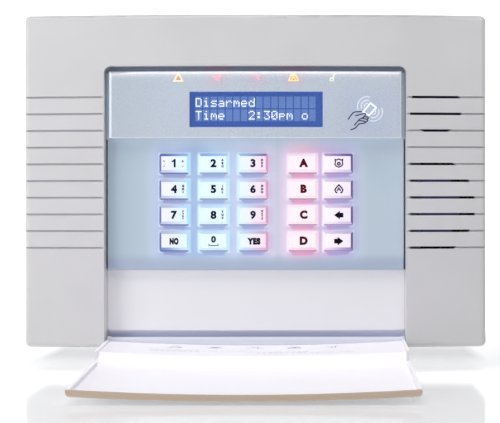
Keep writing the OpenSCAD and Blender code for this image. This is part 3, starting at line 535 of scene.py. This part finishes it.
# painted light: BOUNCE is the glow given to the flap's inner faces and its liner
BOUNCE = srgb(255, 246, 252)  # the light that fills the white flap and its inner panel


def flap_material(name, colour):
    """Bright white flap moulding, with a warm painted shade on its outer end wall, a cooler painted shade on
    its hinge barrel and a painted glow of bounce light on its inner faces.
    """
    g = moulded(name, colour, rough=0.36, grain=0.4, depth=0.008, tint=0.02)
    along = g.axes()[1]
    end, hinge = (corner.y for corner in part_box("flap_shell"))
    # painted shade: the outer end wall is darker and warmer
    warm = g.span(along, end + 2.6 * MM, end + 1.0 * MM)
    shade = g.mix(g.math("MULTIPLY", warm, 0.9), colour, srgb(208, 184, 157))
    # painted shade: the hinge barrel is darker and bluer
    barrel = g.span(along, hinge - 9 * MM, hinge - 7.5 * MM)
    shade = g.mix(g.math("MULTIPLY", barrel, 0.9), shade, srgb(232, 235, 249))
    # painted light: the inner faces glow with bounce light, except on the end wall and barrel
    inside = g.span(g.axes("Normal")[2], 0.1, 0.4)
    glow = g.math("MULTIPLY", inside, g.span(g.math("MAXIMUM", warm, barrel), 0, 1, 0.2, 0))
    g.set(colour=shade, glow=BOUNCE, glow_strength=glow)
    return g.material


def plastic(name, colour, **finish):
    return moulded(name, colour, **finish).material


def filled_plastic(name, colour, glow, glow_strength, **finish):
    """Plastic given a faint painted glow of its own, standing in for the light that fills it from behind or
    beside.
    """
    return moulded(name, colour, **finish).set(glow=glow, glow_strength=glow_strength).material


# painted light: the speaker cone glows faintly in its own colour
CONE = srgb(84, 84, 130)
MATERIALS = {
    # the record's material slot, and the material of each node in it
    "cover_plastic": cover_material("cover_plastic", srgb(229, 227, 229)),
    "base_plastic": plastic("base_plastic", srgb(218, 218, 222), rough=0.5, grain=0.5, depth=0.02),
    "flap_plastic": flap_material("flap_plastic", srgb(248, 246, 249)),
    "liner_plastic": filled_plastic("liner_plastic", srgb(250, 248, 251), BOUNCE, 0.2,
                                    rough=0.34, depth=0.006, tint=0.02),
    "fascia_plastic": fascia_material("fascia_paint", srgb(214, 230, 243)),
    "display_plastic": display_material("display_paint", srgb(212, 222, 233)),
    "window": window_glass("display_window"),
    "lcd": lit("lcd_backlight", srgb(56, 92, 172), 0.62, uneven=0.01),
    "black_plastic": plastic("black_plastic", srgb(30, 24, 74), rough=0.5, depth=0.02),
    "circuit_board": circuit_board("circuit_board", srgb(18, 92, 58)),
    "light_guide": lit("light_guide", srgb(232, 238, 246), 0.1),
    "copper": enamelled_wire("copper_wire", srgb(196, 116, 66), 0.4 * MM),
    "silicone": filled_plastic("silicone", srgb(214, 228, 250), srgb(222, 236, 255), 0.35,
                               rough=0.55, depth=0.01),
    "silicone_black": plastic("black_rubber", srgb(26, 26, 27), rough=0.65, depth=0.03),
    "terminal_plastic": plastic("terminal_plastic", srgb(40, 116, 78), rough=0.4),
    "module_metal": brushed("module_screen", srgb(196, 198, 203), 0.28),
    "cable": plastic("cable_jacket", srgb(28, 28, 30), rough=0.4, grain=0.2),
    "ribbon": ribbon_cable("ribbon_cable", srgb(176, 178, 184)),
    "cell_sleeve": plastic("cell_sleeve", srgb(54, 82, 140), rough=0.25, coat=0.4),
    "cone_paper": filled_plastic("cone_paper", CONE, CONE, 0.3, rough=0.9, grain=0.25, depth=0.06),
    "magnet": brushed("magnet_metal", srgb(120, 120, 124), 0.45),
    "brass_disc": brushed("brass_disc", srgb(206, 170, 96), 0.3, (1, 12, 1)),
    "screw_steel": brushed("zinc_steel", srgb(204, 207, 212), 0.26),
    "white_plastic": plastic("white_acetal", srgb(232, 232, 234), rough=0.3, depth=0.006),
}
KEY_MATERIAL = {}
for column, look in enumerate(KEY_COLUMNS):
    column_material = key_material(column, look)
    KEY_MATERIAL.update({"key_" + key: column_material for key in look.keys})
NAVY_INK = ink("navy_ink", srgb(10, 8, 56))
BLACK_INK = ink("dark_ink", srgb(12, 6, 36))
MAROON_INK = ink("maroon_ink", srgb(92, 2, 40))
GREY_INK = ink("grey_ink", srgb(170, 168, 178))
SLATE_INK = ink("slate_ink", srgb(24, 28, 78))

SHARP = math.radians(30)  # an edge that turns by more than this is rounded


def dress(node, material, bevel, segments):
    """Gives a CAD node its material and, where bevel isn't 0, rounds its moulded edges."""
    piece = NODES[node]
    piece.data.materials.clear()
    piece.data.materials.append(material)
    if bevel:
        weld = piece.modifiers.new("weld", "WELD")
        weld.merge_threshold = 0.002 * MM
        round_off = piece.modifiers.new("round", "BEVEL")
        round_off.width = bevel
        round_off.segments = segments
        round_off.limit_method = "ANGLE"
        round_off.angle_limit = SHARP
        piece.modifiers.new("shade", "WEIGHTED_NORMAL")


SLOT_OF = {part["node"]: part["material_slot"] for part in frame["record"]["subparts"]}
BEVELS = {"terminal_blocks": 0.25, "board_components": 0.2, "battery_holder": 0.3, "lcd_frame": 0.2,
          "tamper_housing": 0.3, "radio_module": 0.15}
for node in NODES:
    if node in KEY_MATERIAL:
        dress(node, KEY_MATERIAL[node], 0.3 * MM, 3)
    else:
        dress(node, MATERIALS[SLOT_OF[node]], BEVELS.get(node, 0) * MM, 2)

# ---------------------------------------------------------------- thin plates on the CAD faces


class Face:
    """The side of a CAD node that prints lie on. u and v run across it, and look points into it."""

    def __init__(self, node, look=INTO_WALL, u=ACROSS, v=UP):
        mesh = NODES[node].data
        self.tree = BVHTree.FromPolygons([p.co for p in mesh.vertices], [f.vertices for f in mesh.polygons])
        self.body = NODES[node]["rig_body"]
        self.look, self.u, self.v = look, u, v

    def at(self, u, v, lift):
        start = self.u * u + self.v * v - self.look
        hit = self.tree.ray_cast(start, self.look)[0]
        if hit is None:
            raise ValueError(f"nothing to print on at {u:.4f}, {v:.4f}")
        return hit - self.look * lift


def plate(name, face, outlines, material, lift=0.05 * MM, sink=0.05 * MM, centre=(0, 0)):
    """Thin closed plates laid on a face: lift above it and sink below it, placed about the centre.

    Each outline holds its points, as (u, v) in metres, and its polygons, as lists of the points' numbers.
    """
    mesh = bmesh.new()
    for points, polygons in outlines:
        spots = [(centre[0] + u, centre[1] + v) for u, v in points]
        top = [mesh.verts.new(face.at(*spot, lift)) for spot in spots]
        low = [mesh.verts.new(face.at(*spot, -sink)) for spot in spots]
        edges = {}
        for corners in polygons:
            mesh.faces.new([top[i] for i in corners])
            mesh.faces.new([low[i] for i in reversed(corners)])
            edges.update(dict.fromkeys(zip(corners, [*corners[1:], corners[0]])))
        for a, b in edges:
            if (b, a) not in edges:
                mesh.faces.new([top[b], top[a], low[a], low[b]])
    bmesh.ops.recalc_face_normals(mesh, faces=mesh.faces)
    data = bpy.data.meshes.new(name)
    mesh.to_mesh(data)
    mesh.free()
    data.materials.append(material)
    piece = bpy.data.objects.new(name, data)
    bpy.context.scene.collection.objects.link(piece)
    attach(piece, face.body)


def block(x0, x1, z0, z1):
    """The outline of a rectangle."""
    return [(x, z) for x in (x0, x1) for z in (z0, z1)], [(0, 2, 3, 1)]


def filled(points):
    """The outline of one filled shape."""
    return points, [tuple(range(len(points)))]


def arc(x, z, radius, start, end, steps=14):
    """Points along an arc, its angles in degrees anticlockwise from the right."""
    angles = [math.radians(start + (end - start) * i / steps) for i in range(steps + 1)]
    return [(x + radius * math.cos(a), z + radius * math.sin(a)) for a in angles]


SHORTEST_MITRE = 0.4  # holds a stroke's mitre back where its line turns sharply


def stroke(points, width, closed=False):
    """A line of even width through the points, its corners mitred."""
    count = len(points)
    sides = []
    for i, (x, z) in enumerate(points):
        before = points[i - 1] if i or closed else None
        after = points[(i + 1) % count] if i < count - 1 or closed else None
        parts = [(a, b) for a, b in ((before, (x, z)), ((x, z), after)) if a and b]
        ways = [(Vector(b) - Vector(a)).normalized() for a, b in parts]
        along = sum(ways[1:], ways[0]).normalized()
        across = Vector((-along.y, along.x)) * (width / 2 / max(along.dot(ways[0]), SHORTEST_MITRE))
        sides += [(x + across.x, z + across.y), (x - across.x, z - across.y)]
    starts = range(0, 2 * (count if closed else count - 1), 2)
    return sides, [(i, i + 1, (i + 3) % len(sides), (i + 2) % len(sides)) for i in starts]


def fine_stroke(points, width, closed=False):
    """A stroke in short steps, for a face that curves under it. Its points are in millimetres."""
    step = 0.5
    ends = list(points[1:]) + ([points[0]] if closed else [])
    dense = []
    for (x0, z0), (x1, z1) in zip(points, ends):
        steps = max(1, math.ceil(math.hypot(x1 - x0, z1 - z0) / step))
        dense += [(x0 + (x1 - x0) * i / steps, z0 + (z1 - z0) * i / steps) for i in range(steps)]
    return stroke(dense if closed else dense + [points[-1]], width, closed)


def disc(x, z, radius):
    sides = 16
    return filled(arc(x, z, radius, 0, 360 - 360 / sides, sides - 1))


def lettering(words, height, bold=0.0, widen=1.0, spacing=1.0):
    """The outlines of some letters in the built-in font, centred on the origin and height high."""
    curve = bpy.data.curves.new("lettering", "FONT")
    curve.body = words
    curve.size = 1
    curve.offset = bold
    curve.space_character = spacing
    curve.resolution_u = 4
    holder = bpy.data.objects.new("lettering", curve)
    bpy.context.scene.collection.objects.link(holder)
    bpy.context.view_layer.update()
    shape = bpy.data.meshes.new_from_object(holder.evaluated_get(bpy.context.evaluated_depsgraph_get()))
    bpy.data.objects.remove(holder)
    bpy.data.curves.remove(curve)
    left, low = (min(p.co[axis] for p in shape.vertices) for axis in (0, 1))
    right, high = (max(p.co[axis] for p in shape.vertices) for axis in (0, 1))
    scale = height / (high - low)
    points = [((p.co.x - (left + right) / 2) * scale * widen, (p.co.y - (low + high) / 2) * scale)
              for p in shape.vertices]
    polygons = [tuple(f.vertices) for f in shape.polygons]
    bpy.data.meshes.remove(shape)
    return points, polygons


# ---------------------------------------------------------------- key legends


def key_centre(node):
    """The middle of a key's front. Its flange makes its box wider evenly on all sides."""
    low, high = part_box(node)
    return (low.x + high.x) / 2, (low.z + high.z) / 2


SHIELD = [
    stroke([(-2.3, 2.1), (-1.3, 1.7), (0, 2.4), (1.3, 1.7), (2.3, 2.1), (2.1, 0.6), (2.4, -0.8), (1.6, -1.9),
            (0, -2.6), (-1.6, -1.9), (-2.4, -0.8), (-2.1, 0.6)], 0.7, True),
    stroke(arc(0, -0.5, 0.8, 0, 330, 11), 0.8, True),
]
FLAME = [
    stroke([(-0.9, -2.4), (-1.9, -1.8), (-2.4, -0.4), (-1.4, 1.1), (0, 2.6), (1.4, 1.1), (2.4, -0.4),
            (1.9, -1.8), (0.9, -2.4)], 0.8),
    stroke([(-1.1, -1.1), (0, 0.6), (1.1, -1.1)], 0.8),
]


def arrow(way):
    """A block arrow pointing left (-1) or right (1)."""
    points = [(-2.9, 0), (0.6, 2.6), (0.6, 1.4), (2.7, 1.4), (2.7, -1.4), (0.6, -1.4), (0.6, -2.6)]
    return [filled([(-way * x, z) for x, z in points][::way])]


SIDE_LETTERS = dict(zip("23456789", "ABC DEF GHI JKL MNO PQRS TUV WXYZ".split()))
SIDE_SIZES = {3: (1.45, 1.9), 4: (1.15, 1.5)}  # for each count of letters, their height and their pitch


def in_mm(outlines):
    """Outlines drawn in millimetres, as plate takes them."""
    return [([(x * MM, z * MM) for x, z in points], polygons) for points, polygons in outlines]


def legend(node, name, outlines, material, dx=0.0, dz=0.0):
    """Prints outlines on a key, moved by dx and dz from its middle, all in millimetres."""
    x, z = key_centre(node)
    thick = 0.04 * MM
    plate(f"{node}_{name}", Face(node), in_mm(outlines), material, thick, thick, (x + dx * MM, z + dz * MM))


def stacked(letters):
    """Small letters one above the other, in millimetres."""
    height, pitch = SIDE_SIZES[len(letters)]
    column = []
    for i, letter in enumerate(letters):
        points, polygons = lettering(letter, height, 0.09)
        drop = ((len(letters) - 1) / 2 - i) * pitch
        column.append(([(x, z + drop) for x, z in points], polygons))
    return column


ONE = filled([(1.0, -2.5), (1.0, 2.5), (0.1, 2.5), (-0.5, 1.8), (-1.4, 1.4), (-1.4, 0.5), (-0.15, 1.0),
              (-0.15, -2.5)])


def print_keys():
    """The legend of every key. The 0 stands higher and smaller, above its mark."""
    for digit in "1234567890":
        size, up = (4.1, 1.4) if digit == "0" else (5.0, 0.4)
        shape = ONE if digit == "1" else lettering(digit, size, 0.05, 1.06)
        legend(f"key_{digit}", "digit", [shape], NAVY_INK, 0, up)
        if digit in SIDE_LETTERS:
            legend(f"key_{digit}", "letters", stacked(SIDE_LETTERS[digit]), SLATE_INK, 5.5, 0.4)
    left_marks = [stroke([(-6.4, 2.0), (-5.7, 1.3)], 0.5), stroke([(-6.2, -1.9), (-5.8, -0.8)], 0.4)]
    legend("key_1", "marks_left", left_marks, SLATE_INK)
    right_marks = [stroke([(4.7, 1.6), (5.9, 1.6)], 0.5), stroke([(5.3, 1.0), (5.3, 2.2)], 0.45),
                   disc(5.3, -1.4, 0.35)]
    legend("key_1", "marks_right", right_marks, SLATE_INK)
    bracket = stroke([(-2.8, -1.3), (-2.8, -2.3), (2.8, -2.3), (2.8, -1.3)], 0.45)
    legend("key_0", "mark", [bracket], SLATE_INK)
    legend("key_no", "word", [lettering("NO", 4.2, 0.085, 0.66, 1.14)], BLACK_INK, 0, 0.2)
    legend("key_yes", "word", [lettering("YES", 4.2, 0.085, 0.84, 1.18)], BLACK_INK, 0.5, 0.2)
    for letter in "abcd":
        legend(f"key_{letter}", "letter", [lettering(letter.upper(), 5.2, 0.07)], MAROON_INK, 0.6, 0.5)
    legend("key_alarm", "sign", SHIELD, NAVY_INK, 0.5, 0.5)
    legend("key_fire", "sign", FLAME, NAVY_INK, 0.5, 0.3)
    legend("key_left", "arrow", arrow(-1), BLACK_INK, 0.5, 0.2)
    legend("key_right", "arrow", arrow(1), BLACK_INK, 0.3, 0.2)


print_keys()

# ---------------------------------------------------------------- liquid crystal display

GLYPHS = {
    # seven rows of five dots each, from the top down, # for a lit dot
    "D": "####. #...# #...# #...# #...# #...# ####.",
    "i": "..#.. ..... .##.. ..#.. ..#.. ..#.. .###.",
    "s": "..... ..... .#### #.... .###. ....# ####.",
    "a": "..... ..... .###. ....# .#### #...# .####",
    "r": "..... ..... #.##. ##..# #.... #.... #....",
    "m": "..... ..... ##.#. #.#.# #.#.# #...# #...#",
    "e": "..... ..... .###. #...# ##### #.... .###.",
    "d": "....# ....# .##.# #..## #...# #...# .####",
    "T": "##### ..#.. ..#.. ..#.. ..#.. ..#.. ..#..",
    "2": ".###. #...# ....# ...#. ..#.. .#... #####",
    ":": "..... .##.. .##.. ..... .##.. .##.. .....",
    "3": "##### ...#. ..#.. ...#. ....# #...# .###.",
    "0": ".###. #...# #..## #.#.# ##..# #...# .###.",
    "p": "..... ..... ####. #...# ####. #.... #....",
    "o": "..... ..... .###. #...# #...# #...# .###.",
}
LINES = ["Disarmed        ", "Time   2:30pm o "]
# Millimetres: from character to character, from line to line, one cell, from dot to dot and one dot.
CELL_PITCH, LINE_PITCH = 4.6, 7.8
CELL_W, CELL_H = 3.9, 7.1
DOT_PITCH, DOT = 0.76, 0.62


def display():
    """Two lines of character cells, with the lit dots of each character in front."""
    low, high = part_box("lcd_glass")
    middle = (low.x + high.x) / 2 - 0.45 * MM, (low.z + high.z) / 2 + 0.55 * MM
    face = Face("lcd_glass")
    cells, dots = [], []
    for row, line in enumerate(LINES):
        for column, letter in enumerate(line):
            x = (column - (len(line) - 1) / 2) * CELL_PITCH
            z = ((len(LINES) - 1) / 2 - row) * LINE_PITCH
            cells.append(block(x - CELL_W / 2, x + CELL_W / 2, z - CELL_H / 2, z + CELL_H / 2))
            for j, dot_row in enumerate(GLYPHS.get(letter, "").split()):
                for i, dot in enumerate(dot_row):
                    if dot == "#":
                        dx, dz = x + (i - 2) * DOT_PITCH, z + (3 - j) * DOT_PITCH
                        dots.append(block(dx - DOT / 2, dx + DOT / 2, dz - DOT / 2, dz + DOT / 2))
    cell_light = lit("lcd_cell", srgb(104, 136, 202), 0.62, uneven=0.01)
    plate("lcd_cells", face, in_mm(cells), cell_light, centre=middle)
    dot_light = lit("lcd_dot", srgb(244, 248, 255), 1.1)
    plate("lcd_dots", face, in_mm(dots), dot_light, 0.1 * MM, 0.02 * MM, middle)


display()

# ---------------------------------------------------------------- lit signs on the display section

TRIANGLE = [(-2.7, -2.0), (2.7, -2.0), (0, 2.6)]
SIGNS = [
    # name, colour, strength of its light, and its strokes in millimetres
    ("fault", (255, 222, 168), 1.3, [fine_stroke(TRIANGLE, 0.5, True)]),
    ("siren", (255, 150, 168), 1.1, [
        fine_stroke([(-2.9, 1.1), (2.9, 1.1)], 0.4), fine_stroke([(-2.4, 0.1), (2.4, 0.1)], 0.35),
        fine_stroke([(-1.8, -0.9), (1.8, -0.9)], 0.35), fine_stroke([(-1.3, -1.7), (1.3, -1.7)], 0.3),
        fine_stroke([(-1.3, 1.8), (1.3, 1.8)], 0.3)]),
    ("service", (255, 158, 176), 1.1, [
        fine_stroke([(-2.3, 1.7), (-0.9, 1.3), (0.2, 0.4), (1.9, -1.7)], 0.6),
        fine_stroke([(0.9, 1.8), (1.9, 0.6)], 0.5)]),
    ("alert", (255, 206, 96), 1.3, [
        fine_stroke([(-3.1, -1.9), (-0.9, 2.2), (1.3, -1.9)], 0.5),
        fine_stroke([(-1.3, -1.9), (0.8, 2.2), (3.1, -1.9)], 0.5),
        fine_stroke([(-3.1, -1.9), (3.1, -1.9)], 0.45)]),
    ("unset", (232, 240, 206), 1.1, [
        fine_stroke([(-1.5, -1.9), (0.5, -1.9), (0.7, -0.3), (-1.3, -0.3)], 0.45, True),
        fine_stroke([(0.5, -0.1), (0.7, 1.4), (1.3, 2.1), (2.1, 2.1)], 0.5)]),
]
WARNINGS = ("fault", "alert")  # the signs that are filled with a dimmer light
CORE = fine_stroke([(0, -1.6), (0, 0.8)], 1.5)


def status_signs():
    """Five lit signs near the upper edge, each in front of its light guide."""
    low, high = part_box("status_light_guides")
    corners = NODES["status_light_guides"].data.vertices
    sides = {round((corner.co.x - low.x) / (high.x - low.x), 2) for corner in corners}
    edges = [low.x + (high.x - low.x) * share for share in sorted(sides)]
    centres = [(edges[2 * i] + edges[2 * i + 1]) / 2 for i in range(len(SIGNS))]
    z = (low.z + high.z) / 2 + 0.35 * MM
    face = Face("display_surround")
    for x, (name, colour, strength, outlines) in zip(centres, SIGNS):
        light = lit(f"sign_{name}", srgb(*colour), strength)
        plate(f"status_sign_{name}", face, in_mm(outlines), light, 0.06 * MM, 0.06 * MM, (x, z))
        if name in WARNINGS:
            dim = lit(f"core_{name}", srgb(216, 158, 96), 0.75)
            plate(f"status_core_{name}", face, in_mm([CORE]), dim, 0.04 * MM, 0.04 * MM, (x, z))


status_signs()

# Millimetres from the middle of the reader's coil.
CARD = [(3.0, 7.5), (6.4, 4.6), (2.1, 0.1), (-1.5, 2.1)]
HAND = [
    [(-10.7, -2.6), (-9.2, -0.4), (-7.7, 1.5), (-6.3, 2.1), (-2.2, 2.2)],
    [(-6.2, -0.3), (-4.1, 0.3), (-1.8, 0.9), (-0.3, 1.2), (-0.1, 0.6), (-0.6, -0.4), (-1.8, -1.6),
     (-3.9, -2.4), (-4.3, -3.1), (-7.0, -6.1)],
    [(-0.6, -0.9), (0.9, -0.9), (1.7, -1.7), (0.9, -2.4), (-2.0, -1.8)],
    [(0.9, -2.4), (1.1, -3.4), (0.1, -4.1), (-1.0, -3.5), (-3.9, -3.2)],
    [(0.1, -4.1), (-1.0, -4.8), (-3.8, -5.1), (-4.9, -6.2), (-6.5, -7.9), (-9.2, -8.9)],
]


def reader_sign():
    """A hand that holds a card up to the reader, between two sets of waves."""
    low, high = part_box("reader_coil")
    centre = (low.x + high.x) / 2, (low.z + high.z) / 2
    face = Face("display_surround")
    waves = [stroke(arc(0.9, 5.5, r, 72, 205), w) for r, w in ((1.7, 0.5), (3.6, 0.55), (5.8, 0.5))]
    waves += [stroke(arc(4.4, 2.3, r, 24, -106), w) for r, w in ((1.7, 0.5), (3.7, 0.55), (5.8, 0.5))]
    plate("reader_waves", face, in_mm(waves), lit("wave_print", srgb(232, 240, 255), 0.75), centre=centre)
    card = [stroke(CARD, 0.75, True)]
    plate("reader_card", face, in_mm(card), lit("card_print", srgb(248, 252, 255), 0.95), centre=centre)
    hand = [stroke(line, 0.62) for line in HAND]
    plate("reader_hand", face, in_mm(hand), SLATE_INK, centre=centre)


reader_sign()

# ---------------------------------------------------------------- pale print inside the flap


def flap_notes():
    """Small grey copies of the five signs, and rows of note marks with no words."""
    face = Face("flap_liner", DOWN, ACROSS, UP.cross(ACROSS))
    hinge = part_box("flap_liner")[1].y
    low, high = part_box("status_light_guides")
    step = (high.x - low.x) / 4.1 / MM
    larger = 1.3
    signs = []
    for i, (*_, outlines) in enumerate(SIGNS):
        x = (i - 2) * step
        for points, polygons in outlines:
            signs.append(([(x + larger * a, larger * b) for a, b in points], polygons))
        signs += [block(x - 5, x - 2.8, -2.2, -1.7), block(x + 2.8, x + 5, -2.2, -1.7)]
    plate("flap_signs", face, in_mm(signs), GREY_INK, centre=(0, hinge - 9.5 * MM))
    marks = []
    mark_pitch, half_h = 3.4, 0.3
    for row, starts in ((20.5, (-62, -30)), (24, (-62, 2)), (27.5, (2, 30))):
        for start in starts:
            for i in range(9):
                x = start + i * mark_pitch
                length = 1.2 + (i * 7 + row * 2) % 5 * 0.45
                marks.append(block(x, x + length, -row - half_h, -row + half_h))
    plate("flap_notes", face, in_mm(marks), GREY_INK, centre=(0, hinge))


flap_notes()

# ---------------------------------------------------------------- floor, light and camera


def studio():
    """A pale glossy floor that curves up into a backdrop, which lights itself behind the panel."""
    floor_z = cad_box[0].z - 1.5 * MM
    half_w, front, wall_top = 3.5, -2.2, 3.5
    bend_from, radius, steps = 1.2, 0.8, 16
    angles = [math.pi / 2 * i / steps for i in range(1, steps + 1)]
    profile = [(front, floor_z), (bend_from, floor_z)]
    profile += [(bend_from + radius * math.sin(a), floor_z + radius - radius * math.cos(a)) for a in angles]
    profile.append((bend_from + radius, wall_top))
    points = [(x, y, z) for y, z in profile for x in (-half_w, half_w)]
    mesh = bpy.data.meshes.new("backdrop")
    mesh.from_pydata(points, [], [(2 * i, 2 * i + 1, 2 * i + 3, 2 * i + 2) for i in range(len(profile) - 1)])
    for face in mesh.polygons:
        face.use_smooth = True
    mesh.materials.append(studio_material())
    floor = bpy.data.objects.new("backdrop", mesh)
    bpy.context.scene.collection.objects.link(floor)


def studio_material():
    """White gloss with a painted shadow where the panel stands close above it, and shining of itself further
    off.
    """
    g = Graph("backdrop", WHITE)
    clouds = g.noise(3, 2)
    x, y, _ = g.axes()
    # painted shadow on the floor close under the panel
    beside = g.span(g.beyond(x, [0], cad_box[1].x), 0, 12 * MM, 1, 0)
    below = g.span(g.beyond(y, [60 * MM], 10 * MM), 0, 55 * MM, 0.9, 0)
    white = g.mix(g.span(clouds, 0.3, 0.7), (0.88, 0.88, 0.88, 1), (0.85, 0.85, 0.85, 1))
    behind = g.span(y, 0.12, 0.25, 0, 0.9)
    in_front = g.span(y, 0, -0.05, 0, 0.16)
    g.set(colour=g.mix(g.math("MULTIPLY", beside, below), white, (0.25, 0.25, 0.26, 1)),
          rough=g.span(clouds, 0.3, 0.7, 0.1, 0.13), specular=0.25,
          glow=WHITE, glow_strength=g.math("MAXIMUM", behind, in_front))
    return g.material


def softbox(name, place, aim, size, power):
    """A rectangular lamp at a place, turned to its aim."""
    lamp = bpy.data.lights.new(name, "AREA")
    lamp.shape = "RECTANGLE"
    lamp.size, lamp.size_y = size
    lamp.energy = power
    holder = bpy.data.objects.new(name, lamp)
    holder.location = place
    holder.rotation_euler = (Vector(aim) - Vector(place)).to_track_quat("-Z", "Y").to_euler()
    bpy.context.scene.collection.objects.link(holder)


def lights():
    softbox("key_light", (-1.3, -0.9, 0.15), (0, 0, 0), (0.9, 0.9), 6.5)
    softbox("low_fill", (-0.46, -0.36, -0.03), (-0.13, 0, -0.06), (0.25, 0.25), 0.16)
    softbox("top_light", (-0.1, -0.6, 1.2), (0, -0.1, -0.1), (1.4, 0.7), 8.3)
    world = bpy.data.worlds.new("studio")
    world.use_nodes = True
    background = world.node_tree.nodes["Background"].inputs
    background["Color"].default_value = (0.93, 0.95, 1.0, 1)
    background["Strength"].default_value = 0.3
    bpy.context.scene.world = world
    bpy.context.scene.view_settings.view_transform = "Standard"


def camera():
    """The photograph's view: straight on, a little right of the middle and below it."""
    data = bpy.data.cameras.new("camera")
    data.sensor_width = 36
    data.lens = 84.6
    data.shift_x = -0.132
    data.shift_y = -0.0125
    data.clip_start = 0.05
    holder = bpy.data.objects.new("camera", data)
    holder.location = (0.0369, -0.759, -0.0147)
    holder.rotation_euler = (math.radians(90), math.radians(0.05), 0)
    bpy.context.scene.collection.objects.link(holder)
    bpy.context.scene.camera = holder


studio()
lights()
camera()
